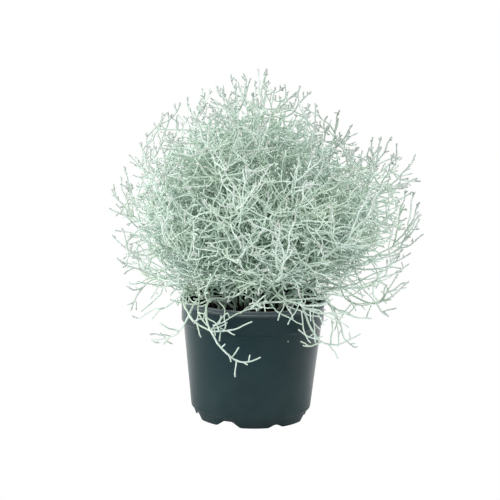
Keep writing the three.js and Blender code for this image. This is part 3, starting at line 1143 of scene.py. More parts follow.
    def _sprout(self, host: Wire, order: Order, index: int, longest: float, roll: float) -> None:
        """Grows the least crowded of several possible shoots at one place, if one has room.

        Args:
            host: The wire that it grows on.
            order: The order of the new shoot.
            index: The place on the host's line.
            longest: How long it may be.
            roll: The turn round the host, in degrees.
        """
        style = self.styles[order]
        length = longest * self.draw.uniform(*self.length_shares)
        escapes = order is not Order.TWIG and self.draw.random() < self.escape_share
        lines = self._ways(host, index, style, length, roll, escapes)
        size = lines.shape[1]
        skip = min(size - 2, math.ceil(self.clear_start / self.step))
        stopped = self.thicket.blocked(lines, host.ident)
        stopped |= self.framework.outline.fullness(lines) > self.draw.uniform(*self.outline_edge)
        stopped |= ~self.framework.room.clears(lines, slack=self.pot_slack)
        if order is not Order.TWIG:
            over_pot = np.hypot(lines[..., 0], lines[..., 1]) < self.low_radius
            stopped |= over_pot & (lines[..., 2] < self.draw.uniform(*self.lowest))
            if not escapes:
                stopped |= self.body.fullness(lines) > self.draw.uniform(*self.body_edge)
        stopped[:, :skip] = False
        free = np.where(stopped.any(axis=1), stopped.argmax(axis=1), size)
        crowding = self.thicket.crowding(lines[:, size // 2 :]).mean(axis=1)
        best = int(np.argmax(free / size - self.crowd_weight * crowding))
        if free[best] * self.step < max(style.shortest, self.whole_share * length):
            return
        if crowding[best] > style.crowding * self._by_fullness(self.thinning, lines[best][size // 2]):
            return
        line = lines[best][: free[best]]
        if order is not Order.TWIG and len(line) > self.kinked_points:
            line = self._kinked(line)
        self._keep(order, line, style.radii, host.stem, host)

    def _ways(
        self, host: Wire, index: int, style: FineStyle, length: float, roll: float, escapes: bool
    ) -> Array:
        """Gives several possible centre lines of a new shoot.

        Args:
            host: The wire that it grows on.
            index: The place on the host's line.
            style: How shoots of its order grow.
            length: How long it is.
            roll: The turn round the host, in degrees.
            escapes: Whether it heads out of the bush's body.

        Returns:
            The lines, with shape (tries, points, 3).
        """
        root, tangent = host.line[index], host.tangent(index)
        rolls = np.radians(roll + self.draw.normal(0, self.roll_drift, self.tries))
        angles = np.radians(self.draw.uniform(*style.angles, self.tries))[:, None]
        level = np.broadcast_to(unit(np.cross(tangent, UP)), (self.tries, 3))
        across = turned_about(level, tangent, rolls)
        leaving = tangent * np.cos(angles) + across * np.sin(angles)
        outward = unit(root - self.crown)
        spread = style.spread * self._by_fullness(self.spreading, root) * (1 - max(0.0, outward[2]) ** 2)
        spread = 0.0 if escapes else spread
        leaving = unit(leaving - (leaving @ outward)[:, None] * outward * spread)
        outturn = style.outturn + (self.escape_outturn if escapes else 0.0)
        turning = self.draw.uniform(*self.turning, (self.tries, 1))
        drift = self.draw.normal(0, style.drift, (self.tries, 3))
        ending = unit(leaving + (UP * style.upturn + outward * outturn) * turning + drift)
        swing = self.draw.normal(0, style.bow * length, (self.tries, 3))
        middle = root + leaving * length * self.handles[0] + swing
        tips = middle + ending * length * self.handles[1]
        control = np.stack([np.broadcast_to(root, middle.shape), middle, tips], 1)
        size = max(4, round(length / self.step) + 1)
        return self._wobbled(bezier(control, np.linspace(0, 1, size)))


def new_object(name: str, data: bpy.types.ID) -> bpy.types.Object:
    """Makes an object from its mesh, lamp or camera data and links it to the scene."""
    made = bpy.data.objects.new(name, data)
    bpy.context.scene.collection.objects.link(made)
    return made


class MeshBuilder:
    """Gathers closed shapes, with values at their points, into one mesh."""

    def __init__(self) -> None:
        """Starts with no shapes."""
        self.points: list[Array] = []
        self.faces: list[list[int]] = []
        self.values: dict[str, list[Array]] = {}
        self.count = 0

    def add(self, points: Array, faces: list[list[int]], **values: Array) -> None:
        """Adds a shape.

        Args:
            points: Its points, in millimetres.
            faces: Its faces, as places in its own points.
            values: Named numbers, one for each point.
        """
        self.points.append(points)
        self.faces.extend([[corner + self.count for corner in face] for face in faces])
        self.count += len(points)
        for name, numbers in values.items():
            self.values.setdefault(name, []).append(np.broadcast_to(numbers, len(points)))

    def build(self, name: str, smooth: bool = True) -> bpy.types.Object:
        """Makes the object, in metres.

        Args:
            name: The object's name.
            smooth: Whether its faces are shaded smooth.

        Returns:
            The new object, linked to the scene.
        """
        mesh = bpy.data.meshes.new(name)
        mesh.from_pydata((np.vstack(self.points) * MM).tolist(), [], self.faces)
        for key, parts in self.values.items():
            attribute = mesh.attributes.new(key, "FLOAT", "POINT")
            attribute.data.foreach_set("value", np.concatenate(parts).astype(np.float32))
        if smooth:
            mesh.shade_smooth()
        mesh.update()
        return new_object(name, mesh)


@dataclass(frozen=True)
class LeafRelief:
    """The tiny leaves that lie pressed to every shoot, as a relief on its skin."""

    pitch: float = 1.15
    length: float = 3.1
    depth: float = 0.3
    level: float = 0.4
    reach: int = 3

    def swell(self, places: Array, turns: Array, start: float) -> Array:
        """Gives how much thicker the shoot is at places along it and turns round it.

        Args:
            places: The places of the rings, in millimetres from the root.
            turns: The turns of the sides, in radians.
            start: A turn that sets where the leaves begin.

        Returns:
            Factors for the radius, with a row for each ring.
        """
        highest = np.zeros((len(places), len(turns)))
        for back in range(self.reach):
            leaf = np.floor(places / self.pitch) - back
            along = (places - leaf * self.pitch) / self.length
            ramp = np.where(along < 1, along, 0.0)
            away = turns[None, :] - (leaf * math.radians(GOLDEN_TURN) + start)[:, None]
            highest = np.maximum(highest, ramp[:, None] * np.clip(np.cos(away), 0, 1))
        return 1 + self.depth * (highest - self.level)


@dataclass
class SprayMaker:
    """Turns the wires of a stem into one mesh of knobbly, felted shoots with buds at their tips."""

    outline: BushOutline = field(default_factory=BushOutline)
    relief: LeafRelief = field(default_factory=LeafRelief)
    ring_spacing: Pair = (2.9, 1.9)
    sides: dict[Order, int] = field(
        default_factory=lambda: {order: 5 for order in Order} | {Order.LEADER: 7, Order.BRANCH: 6}
    )
    tip_length: float = 16.0
    tip_cap: float = 0.5
    last_ring: float = 0.72
    club_length: float = 3.4
    club_swell: float = 0.5
    outer_share: float = 0.86
    fringe: Pair = (0.82, 0.97)
    fringe_swell: float = 0.12
    weathering: float = 0.8
    bud_counts: dict[Order, int] = field(
        default_factory=lambda: {Order.LEADER: 3, Order.BRANCH: 2, Order.SIDE: 2, Order.TWIG: 1}
    )
    bud_share: float = 0.5
    bud_height: float = 130.0
    bud_length: Pair = (1.4, 2.9)
    bud_radius: float = 0.74
    bud_angles: Pair = (26, 56)
    bud_spacing: float = 2.6
    bud_start: float = 0.6
    bud_drift: float = 0.8
    bud_places: tuple[float, ...] = (0.0, 0.5, 0.86, 1.0)
    bud_widths: tuple[float, ...] = (0.8, 1.12, 0.74)
    bud_tips: tuple[float, ...] = (0.8, 0.9, 0.98, 1.0)
    # Buds stay pale, with almost none of the darkening for older wood and painted shade
    bud_age_and_shade: float = 0.03
    seed: int = 71

    def build(self, name: str, wires: list[Wire]) -> bpy.types.Object:
        """Makes the spray of one stem.

        Args:
            name: The object's name.
            wires: The stem's wires.

        Returns:
            The new object.
        """
        draw = np.random.default_rng(self.seed + wires[0].stem)
        builder = MeshBuilder()
        for wire in wires:
            outer = bool(self.outline.fullness(wire.line[-1]) > self.outer_share)
            budded = outer and wire.line[-1][2] > self.bud_height
            self._tube(builder, wire, outer, budded, draw)
            for place in range(self.bud_counts[wire.order] if budded else 0):
                if draw.random() < self.bud_share:
                    self._bud(builder, wire, place, draw)
        return builder.build(name)

    def _tube(
        self, builder: MeshBuilder, wire: Wire, outer: bool, budded: bool, draw: np.random.Generator
    ) -> None:
        """Adds the skin of one wire, closed at its root and rounded at its tip.

        Args:
            builder: What the skin is added to.
            wire: The wire.
            outer: Whether it ends near the bush's outside, where it has more rings.
            budded: Whether its tip is weathered and carries buds.
            draw: What its leaves start from.
        """
        length = wire.length
        count = max(3, round(length / self.ring_spacing[outer]) + 1)
        reached = np.linspace(0, 1, len(wire.line))
        last_share = 1 - self.tip_cap * wire.radii[1] / length
        shares = np.append(np.linspace(0, last_share, count - 1), 1.0)
        line = np.stack([np.interp(shares, reached, wire.line[:, axis]) for axis in range(3)], -1)
        places = shares * length
        radii = wire.radii[0] + (wire.radii[1] - wire.radii[0]) * shares
        club = np.clip(1 - (length - places) / self.club_length, 0, 1)
        start, end = self.fringe
        fringe = np.clip((self.outline.fullness(line) - start) / (end - start), 0, 1)
        radii = radii * (1 + self.club_swell * np.sin(club * np.pi * 0.5))
        radii = radii * (1 + self.fringe_swell * fringe)
        turns = even_turns(self.sides[wire.order])
        rings = radii[:-1, None] * self.relief.swell(places[:-1], turns, draw.uniform(0, 2 * np.pi))
        rings[-1] *= self.last_ring
        # Darkening from root to tip for older wood and painted shade deep in the bush
        age = wire.ages[0] + (wire.ages[1] - wire.ages[0]) * shares
        tip = np.clip(1 - (length - places) / self.tip_length, 0, 1) * budded
        tip = np.maximum(tip, self.weathering * fringe)
        self._sweep(builder, line, rings, age, tip)

    def _bud(self, builder: MeshBuilder, wire: Wire, place: int, draw: np.random.Generator) -> None:
        """Adds a bud beside a wire, near its tip.

        Args:
            builder: What the bud is added to.
            wire: The wire.
            place: The bud's place in the row, from the tip.
            draw: The run of numbers.
        """
        step = wire.length / (len(wire.line) - 1)
        back = round((self.bud_start + place + draw.uniform(0, self.bud_drift)) * self.bud_spacing / step)
        root = wire.line[max(1, len(wire.line) - 1 - back)]
        tangent = unit(wire.line[-1] - wire.line[-2])
        across = unit(np.cross(tangent, draw.normal(size=3)))
        angle = math.radians(draw.uniform(*self.bud_angles))
        along = tangent * math.cos(angle) + across * math.sin(angle)
        length = draw.uniform(*self.bud_length) + wire.radii[1]
        line = root + along * (np.array(self.bud_places) * length)[:, None]
        rings = self.bud_radius * np.array(self.bud_widths)[:, None] * np.ones(self.sides[Order.BUD])
        age = np.full(len(line), self.bud_age_and_shade)
        self._sweep(builder, line, rings, age, np.array(self.bud_tips))

    @staticmethod
    def _sweep(builder: MeshBuilder, line: Array, rings: Array, age: Array, tip: Array) -> None:
        """Adds a skin round a line, closed by a flat root and a pointed end at the line's last point.

        Args:
            builder: What the skin is added to.
            line: The centre line.
            rings: The radius at each ring and side. There is one ring fewer than points in the line.
            age: How dark each point of the line is, for older wood and as painted shade deep inside the
                bush.
            tip: How near the tip each point of the line is.
        """
        tangents = unit(np.gradient(line, axis=0))
        across = np.linalg.svd(tangents)[2][2]
        side = unit(across - (tangents @ across)[:, None] * tangents)[:-1]
        second = np.cross(tangents[:-1], side)
        count, sides = rings.shape
        turns = even_turns(sides)[None, :, None]
        around = np.cos(turns) * side[:, None] + np.sin(turns) * second[:, None]
        skin = line[:-1, None] + rings[..., None] * around
        corner = np.arange(sides)
        following = (corner + 1) % sides
        start = (np.arange(count - 1) * sides)[:, None]
        lower, beside = start + corner, start + following
        quads = np.stack([lower, beside, beside + sides, lower + sides], -1)
        last = (count - 1) * sides
        faces = quads.reshape(-1, 4).tolist()
        faces += [[last + int(a), last + int(b), count * sides] for a, b in zip(corner, following)]
        faces.append([int(a) for a in corner[::-1]])
        points = np.vstack([skin.reshape(-1, 3), line[-1:]])
        spread_age_and_shade = np.append(np.repeat(age[:-1], sides), age[-1])
        spread_tip = np.append(np.repeat(tip[:-1], sides), tip[-1])
        builder.add(points, faces, age=spread_age_and_shade, tip=spread_tip)


def filleted(corners: list[Triple], steps: int) -> list[Pair]:
    """Rounds the corners of an outline.

    Args:
        corners: The corners as (radius, height, rounding), with a rounding of 0 where it stays sharp.
        steps: How many stretches each rounding has.

    Returns:
        The points of the rounded outline.
    """
    outline = []
    for k, (radius, height, rounding) in enumerate(corners):
        here = Vector((radius, height))
        if rounding == 0:
            outline.append((radius, height))
            continue
        before = Vector(corners[k - 1][:2]) - here
        after = Vector(corners[k + 1][:2]) - here
        half = before.angle(after) / 2
        cut = min(rounding / math.tan(half), before.length * FILLET_SHARE, after.length * FILLET_SHARE)
        start, end = here + before.normalized() * cut, here + after.normalized() * cut
        for step in range(steps + 1):
            share = step / steps
            point = start * (1 - share) ** 2 + here * 2 * share * (1 - share) + end * share**2
            outline.append((point.x, point.y))
    return outline


def lathe(outline: list[Pair], sides: int) -> tuple[Array, list[list[int]]]:
    """Turns an outline about Z into a closed skin. The outline starts and ends on the axis.

    Args:
        outline: The points as (radius, height), from the underside outwards.
        sides: How many sides the skin has.

    Returns:
        The points and the faces.
    """
    inner = np.array(outline[1:-1])
    turns = even_turns(sides)
    radii, heights = inner[:, :1], np.repeat(inner[:, 1:], sides, axis=1)
    rings = np.stack([radii * np.cos(turns), radii * np.sin(turns), heights], -1)
    ends = [[0, 0, outline[0][1]], [0, 0, outline[-1][1]]]
    points = np.vstack([rings.reshape(-1, 3), ends])
    foot, top = len(points) - 2, len(points) - 1
    last = (len(inner) - 1) * sides
    faces = []
    for side in range(sides):
        following = (side + 1) % sides
        faces.append([foot, following, side])
        faces.append([top, last + side, last + following])
        for ring in range(0, last, sides):
            faces.append([ring + side, ring + following, ring + sides + following, ring + sides + side])
    return points, faces


@dataclass(frozen=True)
class Notch:
    """A notch in the pot's foot, wide at the bottom and narrower at its crown."""

    width: float
    crown: float
    height: float

    def rise(self, offsets: Array) -> Array:
        """Gives the height of the foot's edge at offsets from the notch's middle."""
        slope = (self.width - self.crown) / 2
        return self.height * np.clip((self.width / 2 - np.abs(offsets)) / slope, 0, 1)


@dataclass
class NurseryPot:
    """The moulded pot: a rolled lip, a stacking band, a tapered wall and a foot with notches."""

    height: float = POT_HEIGHT
    wall: float = 1.4
    lip_radius: float = LIP_RADIUS
    lip_height: float = 5.0
    bead_height: float = 1.5
    bead_depth: float = 0.6
    band_radius: float = BAND_RADIUS
    band_draft: float = 0.4
    band_step: float = 1.6
    band_foot: float = 86.5
    wall_top: float = 61.9
    wall_foot: float = 53.5
    foot_height: float = 8.6
    foot_ledge: float = 1.0
    foot_radius: float = 52.2
    foot_draft: float = 3.2
    floor_height: float = 6.8
    pad_radius: float = 10.0
    pad_slope: float = 3.0
    drain_count: int = 7
    drain_radius: float = 4.5
    drain_ring: float = 37.0
    drain_sides: int = 32
    notches: tuple[Notch, ...] = (Notch(23, 8, 5.0), Notch(14, 3, 2.6))
    notch_softening: tuple[float, ...] = (-0.9, -0.45, 0.0, 0.45, 0.9)
    first_notch_turn: float = -114.0
    sides: int = 252
    round_steps: int = 3

    def foot_radius_at(self, height: float) -> float:
        """Gives the radius of the foot's outside, which leans inwards down to its edge."""
        return self.foot_radius - self.foot_draft * (1 - height / self.foot_height)

    def outline(self) -> list[Pair]:
        """Gives the pot's section from its underside to the inside of its floor.

        Returns:
            The points as (radius, height).
        """
        lip_foot = self.height - self.lip_height
        inside = self.band_radius - self.band_draft - self.wall
        floor_top = self.floor_height + self.wall
        floor_radius = self.foot_radius_at(self.floor_height) - self.wall
        corners = [
            (0, 0, 0),
            (self.pad_radius, 0, 0.8),
            (self.pad_radius + self.pad_slope, self.floor_height, 0.8),
            (floor_radius, self.floor_height, 0.6),
            (self.foot_radius_at(0) - self.wall, 0, 0.3),
            (self.foot_radius_at(0), 0, 0.35),
            (self.foot_radius, self.foot_height, 0.4),
            (self.wall_foot, self.foot_height + self.foot_ledge, 1.3),
            (self.wall_top, self.band_foot, 0.9),
            (self.band_radius - self.band_draft, self.band_foot + self.band_step, 1.2),
            (self.band_radius - 0.3, lip_foot - 0.5, 0.35),
            (self.lip_radius, lip_foot - 0.1, 0.5),
            (self.lip_radius, lip_foot + self.bead_height, 0.5),
            (self.lip_radius - self.bead_depth, lip_foot + self.bead_height + 0.5, 0.4),
            (self.lip_radius - self.bead_depth - 0.15, self.height, 1.2),
            (inside, self.height, 1.1),
            (inside, self.band_foot + self.band_step + self.wall / 2, 1.2),
            (self.wall_top - self.wall, self.band_foot + self.wall / 2, 0.9),
            (self.wall_foot - self.wall, self.foot_height + self.foot_ledge + self.wall, 1.2),
            (floor_radius, floor_top, 0.9),
            (self.pad_radius + self.pad_slope + self.wall, floor_top, 0.8),
            (self.pad_radius + self.wall, self.wall, 0.8),
            (0, self.wall, 0),
        ]
        return filleted(corners, self.round_steps)

    def _notched(self, points: Array) -> Array:
        """Lifts the foot's edge where the notches are.

        Args:
            points: The points of the pot's skin.

        Returns:
            The points with the edge lifted.
        """
        flat = np.hypot(points[:, 0], points[:, 1])
        turns = np.degrees(np.arctan2(points[:, 1], points[:, 0]))
        rise = np.zeros(len(points))
        for k in range(self.drain_count):
            away = (turns - self.first_notch_turn - k * 360 / self.drain_count + 180) % 360 - 180
            offsets = np.radians(away) * self.foot_radius_at(0)
            notch = self.notches[k % len(self.notches)]
            rounded = [notch.rise(offsets + shift) for shift in self.notch_softening]
            rise = np.maximum(rise, np.mean(rounded, axis=0))
        skirt = flat > self.foot_radius_at(0) - 2 * self.wall
        low = points[:, 2] < self.floor_height
        share = points[:, 2] / self.floor_height
        lifted = np.where(skirt & low, rise + share * (self.floor_height - rise), points[:, 2])
        return np.column_stack([points[:, :2], lifted])

    def build(self, finish: "PlasticFinish") -> bpy.types.Object:
        """Makes the pot with its notches and drain holes.

        Args:
            finish: The plastic that it is made of.

        Returns:
            The pot.
        """
        points, faces = lathe(self.outline(), self.sides)
        builder = MeshBuilder()
        builder.add(self._notched(points), faces)
        pot = builder.build("nursery_pot")
        self._drill(pot)
        pot.data.materials.append(finish.material())
        return pot

    def _drill(self, pot: bpy.types.Object) -> None:
        """Cuts the drain holes through the floor.

        Args:
            pot: The pot.
        """
        mesh = bmesh.new()
        for k in range(self.drain_count):
            turn = math.radians(self.first_notch_turn + k * 360 / self.drain_count)
            place = Vector((math.cos(turn), math.sin(turn), 0)) * self.drain_ring * MM
            place.z = (self.floor_height + self.wall / 2) * MM
            bmesh.ops.create_cone(
                mesh,
                cap_ends=True,
                segments=self.drain_sides,
                radius1=self.drain_radius * MM,
                radius2=self.drain_radius * MM,
                depth=4 * self.wall * MM,
                matrix=Matrix.Translation(place),
            )
        cutter_mesh = bpy.data.meshes.new("drain_cutter")
        mesh.to_mesh(cutter_mesh)
        mesh.free()
        cutter = new_object("drain_cutter", cutter_mesh)
        cut = pot.modifiers.new("drains", "BOOLEAN")
        cut.object = cutter
        cut.operation = "DIFFERENCE"
        cut.solver = "EXACT"
        drilled = bpy.data.meshes.new_from_object(pot.evaluated_get(bpy.context.evaluated_depsgraph_get()))
        pot.modifiers.clear()
        pot.data = drilled
        bpy.data.objects.remove(cutter)


@dataclass
class PottingSoil:
    """The peat that fills the pot, with loose crumbs and chips on it."""

    pot: NurseryPot = field(default_factory=NurseryPot)
    gap: float = 0.3
    height: float = 98.0
    mound: float = 2.5
    swell: float = 0.9
    ripple: float = 0.7
    clod: float = 0.5
    grit: float = 0.28
    rings: int = 40
    sides: int = 168
    crumb_count: int = 330
    crumb_sizes: Pair = (0.7, 2.6)
    crumb_stretch: Pair = (0.65, 1.25)
    crumb_tilt: float = 3.0
    chip_count: int = 40
    chip_stretch: Triple = (2.4, 0.9, 0.4)
    chip_tilt: float = 0.5
    lump_height: float = 0.22
    lump_waves: float = 2.6
    lump_phase: float = 6.0
    whole_turn: float = 6.3
    wall_room: float = 4.0
    lift: float = 0.3
    seed: int = 5

    def top(self, x: Array, y: Array) -> Array:
        """Gives the height of the soil's surface at places on it.

        Args:
            x: The places' distances to the right.
            y: The places' distances to the back.

        Returns:
            The heights.
        """
        edge = self.pot.band_radius - self.pot.band_draft - self.pot.wall - self.gap
        share = np.hypot(x, y) / edge
        wide = self.swell * np.sin(x * 0.21 + 1.3) * np.cos(y * 0.17)
        fine = self.ripple * np.sin(x * 0.43 - y * 0.37)
        clods = self.clod * np.sin(x * 1.1 + 2 * np.sin(y * 0.6)) * np.cos(y * 1.3 + np.sin(x * 0.9))
        grit = self.grit * np.sin(x * 2.7 + y * 1.9) * np.sin(y * 3.1 - x * 1.3)
        return self.height + self.mound * (1 - share**2) + wide + fine + clods + grit

    def outline(self) -> list[Pair]:
        """Gives the section of the soil, against the inside of the pot and over its top.

        Returns:
            The points as (radius, height).
        """
        pot = self.pot
        inset = pot.wall + self.gap
        edge = pot.band_radius - pot.band_draft - inset
        pad = pot.pad_radius + pot.wall - self.gap
        section = [
            (0, inset),
            (pad, inset),
            (pad + pot.pad_slope, pot.floor_height + inset),
            (pot.foot_radius_at(pot.floor_height) - inset, pot.floor_height + inset),
            (pot.wall_foot - inset, pot.foot_height + pot.foot_ledge + inset),
            (pot.wall_top - inset, pot.band_foot + inset / 2),
            (edge, pot.band_foot + pot.band_step + inset),
        ]
        section += [(edge * (1 - ring / self.rings), self.height) for ring in range(self.rings + 1)]
        return section

    def build(self, finish: "PeatFinish") -> list[bpy.types.Object]:
        """Makes the soil and what lies loose on it.

        Args:
            finish: The peat that it is made of.

        Returns:
            The soil and its crumbs.
        """
        points, faces = lathe(self.outline(), self.sides)
        upper = points[:, 2] > self.height - 1
        points[upper, 2] = self.top(points[upper, 0], points[upper, 1])
        builder = MeshBuilder()
        builder.add(points, faces)
        soil = builder.build("soil_body")
        crumbs = self._crumbs()
        material = finish.material()
        for piece in (soil, crumbs):
            piece.data.materials.append(material)
        return [soil, crumbs]

    def _crumbs(self) -> bpy.types.Object:
        """Makes the loose crumbs and chips, each a lumpy closed grain sunk a little into the soil.

        Returns:
            One object with all of them.
        """
        draw = np.random.default_rng(self.seed)
        ball = bmesh.new()
        bmesh.ops.create_icosphere(ball, subdivisions=2, radius=1.0)
        shape = np.array([vertex.co[:] for vertex in ball.verts])
        faces = [[vertex.index for vertex in face.verts] for face in ball.faces]
        ball.free()
        builder = MeshBuilder()
        reach = self.pot.band_radius - self.pot.wall - self.wall_room
        for k in range(self.crumb_count + self.chip_count):
            is_chip = k >= self.crumb_count
            size = mixed(*self.crumb_sizes, draw.random() ** 3)
            stretch = np.array(self.chip_stretch) if is_chip else draw.uniform(*self.crumb_stretch, 3)
            waves = shape @ draw.normal(0, self.lump_waves, (3, 3)) + draw.uniform(0, self.lump_phase, 3)
            lumps = 1 + self.lump_height * np.sin(waves).mean(axis=1)
            grain = shape * lumps[:, None] * stretch * size
            axis = Vector(draw.normal(size=3)).normalized()
            tilt = Quaternion(axis, draw.uniform(0, self.chip_tilt if is_chip else self.crumb_tilt))
            spin = Quaternion((0, 0, 1), draw.uniform(0, self.whole_turn))
            grain = grain @ np.array((spin @ tilt).to_matrix()).T
            place = direction(draw.uniform(0, 360), 0) * reach * math.sqrt(draw.random())
            place[2] = self.top(place[0], place[1]) + self.lift * size
            builder.add(grain + place, faces)
        return builder.build("soil_crumbs")


class Shader:
    """A node tree with short ways to add nodes and join them."""

    mix_colours = (6, 7)
    mixed_colour = 2

    def __init__(self, tree: bpy.types.NodeTree) -> None:
        """Takes the tree to work in."""
        self.tree = tree

    @staticmethod
    def give(node: bpy.types.Node, **values: float | tuple[float, ...]) -> None:
        """Sets inputs of a node. Their names have spaces where these have underscores."""
        for name, value in values.items():
            node.inputs[name.replace("_", " ")].default_value = value

    def node(self, kind: str, **settings: object) -> bpy.types.Node:
        """Adds a node and sets its options.

        Args:
            kind: The node's type.
            settings: Its options.

        Returns:
            The new node.
        """
        made = self.tree.nodes.new(kind)
        for name, value in settings.items():
            setattr(made, name, value)
        return made

    def join(self, source: Socket, target: Socket) -> None:
        """Joins an output to an input."""
        self.tree.links.new(source, target)

    def group(self, tree: bpy.types.NodeTree, **inputs: float) -> bpy.types.Node:
        """Places a node group and sets its inputs.

        Args:
            tree: The group.
            inputs: The values of its inputs.

        Returns:
            The node.
        """
        made = self.node("ShaderNodeGroup", node_tree=tree)
        self.give(made, **inputs)
        return made

    def mix(self, share: Socket, first: object, second: object) -> Socket:
        """Mixes two colours.

        Args:
            share: The output that sets how much of the second colour there is.
            first: A colour, or an output that gives one.
            second: A colour, or an output that gives one.

        Returns:
            The output with the mixed colour.
        """
        made = self.node("ShaderNodeMix", data_type="RGBA")
        self.join(share, made.inputs["Factor"])
        for place, value in zip(self.mix_colours, (first, second)):
            if isinstance(value, tuple):
                made.inputs[place].default_value = (*value, 1.0)
            else:
                self.join(value, made.inputs[place])
        return made.outputs[self.mixed_colour]

    def scaled(self, source: Socket, start: float, end: float) -> Socket:
        """Maps an output from the range 0 to 1 onto another range.

        Args:
            source: The output.
            start: What 0 becomes.
            end: What 1 becomes.

        Returns:
            The output with the result.
        """
        made = self.node("ShaderNodeMapRange")
        self.give(made, To_Min=start, To_Max=end)
        self.join(source, made.inputs["Value"])
        return made.outputs["Result"]

    def between(self, source: Socket, start: float, end: float) -> Socket:
        """Maps an output smoothly onto 0 to 1 as it goes from start to end.

        Args:
            source: The output.
            start: What becomes 0.
            end: What becomes 1.

        Returns:
            The output with the result.
        """
        made = self.node("ShaderNodeMapRange", interpolation_type="SMOOTHSTEP")
        self.give(made, From_Min=start, From_Max=end)
        self.join(source, made.inputs["Value"])
        return made.outputs["Result"]

    def math(self, operation: str, first: object, second: object) -> Socket:
        """Joins two outputs or numbers by a sum, a product or the like.

        Args:
            operation: What is done with them.
            first: A number, or an output that gives one.
            second: A number, or an output that gives one.

        Returns:
            The output with the result.
        """
        made = self.node("ShaderNodeMath", operation=operation)
        for socket, value in zip(made.inputs, (first, second)):
            if isinstance(value, float):
                socket.default_value = value
            else:
                self.join(value, socket)
        return made.outputs["Value"]

    def relieve(self, surface: bpy.types.Node, height: Socket, strength: float, depth: float) -> None:
        """Gives a surface its fine relief.

        Args:
            surface: The surface's Principled node.
            height: The output that the relief follows.
            strength: How strong it is, up to 1.
            depth: How deep it is, in millimetres.
        """
        bump = self.node("ShaderNodeBump")
        self.give(bump, Strength=strength, Distance=depth * MM)
        self.join(height, bump.inputs["Height"])
        self.join(bump.outputs["Normal"], surface.inputs["Normal"])

    def show_camera(self, plain: Socket, usual: Socket, result: Socket) -> None:
        """Shows the camera a plain shader, where all other light meets the usual one.

        Args:
            plain: The shader that the camera sees.
            usual: The shader that lights the plant.
            result: The input that takes the two.
        """
        seen = self.node("ShaderNodeLightPath")
        either = self.node("ShaderNodeMixShader")
        self.join(seen.outputs["Is Camera Ray"], either.inputs["Fac"])
        self.join(usual, either.inputs[1])
        self.join(plain, either.inputs[2])
        self.join(either.outputs["Shader"], result)


def new_group(
    name: str, inputs: dict[str, float], outputs: tuple[str, ...]
) -> tuple[Shader, bpy.types.Node, bpy.types.Node]:
    """Starts a shader node group.

    Args:
        name: The group's name.
        inputs: Its inputs, with their usual values.
        outputs: The names of its outputs.

    Returns:
        The group's shader, its input node and its output node.
    """
    tree = bpy.data.node_groups.new(name, "ShaderNodeTree")
    for label, value in inputs.items():
        socket = tree.interface.new_socket(label, in_out="INPUT", socket_type="NodeSocketFloat")
        socket.default_value = value
    for label in outputs:
        tree.interface.new_socket(label, in_out="OUTPUT", socket_type="NodeSocketFloat")
    shader = Shader(tree)
    return shader, shader.node("NodeGroupInput"), shader.node("NodeGroupOutput")


class Effects:
    """The effects that more than one finish uses, each a node group that is built once."""

    def __init__(self) -> None:
        """Builds the groups."""
        self.mottle = self._mottle()
        self.grit = self._grit()

    @staticmethod
    def _mottle() -> bpy.types.NodeTree:
        """Builds soft patches: a mask with sharper or softer edges, and a height that follows it.

        Returns:
            The group.
        """
        inputs = {"Scale": 100.0, "Detail": 4.0, "Contrast": 1.0}
        shader, given, result = new_group("mottle", inputs, ("Mask", "Height"))
        place = shader.node("ShaderNodeTexCoord")
        noise = shader.node("ShaderNodeTexNoise")
        shader.join(place.outputs["Object"], noise.inputs["Vector"])
        shader.join(given.outputs["Scale"], noise.inputs["Scale"])
        shader.join(given.outputs["Detail"], noise.inputs["Detail"])
        away = shader.math("SUBTRACT", noise.outputs["Fac"], 0.5)
        raised = shader.math("ADD", shader.math("MULTIPLY", away, given.outputs["Contrast"]), 0.5)
        limit = shader.node("ShaderNodeClamp")
        shader.join(raised, limit.inputs["Value"])
        shader.join(limit.outputs["Result"], result.inputs["Mask"])
        shader.join(noise.outputs["Fac"], result.inputs["Height"])
        return shader.tree

    @staticmethod
    def _grit() -> bpy.types.NodeTree:
        """Builds scattered specks: a mask that is 1 on a speck, for a share of the cells.

        Returns:
            The group.
        """
        inputs = {"Scale": 100.0, "Size": 0.2, "Share": 0.1}
        shader, given, result = new_group("grit", inputs, ("Mask",))
        place = shader.node("ShaderNodeTexCoord")
        cells = shader.node("ShaderNodeTexVoronoi")
        shader.join(place.outputs["Object"], cells.inputs["Vector"])
        shader.join(given.outputs["Scale"], cells.inputs["Scale"])
        near = shader.math("LESS_THAN", cells.outputs["Distance"], given.outputs["Size"])
        parts = shader.node("ShaderNodeSeparateColor")
        shader.join(cells.outputs["Color"], parts.inputs["Color"])
        chosen = shader.math("LESS_THAN", parts.outputs["Red"], given.outputs["Share"])
        shader.join(shader.math("MULTIPLY", near, chosen), result.inputs["Mask"])
        return shader.tree


def new_material(name: str) -> tuple[bpy.types.Material, Shader, bpy.types.Node]:
    """Starts a material.

    Args:
        name: The material's name.

    Returns:
        The material, its shader and its Principled node.
    """
    material = bpy.data.materials.new(name)
    material.use_nodes = True
    shader = Shader(material.node_tree)
    return material, shader, material.node_tree.nodes["Principled BSDF"]


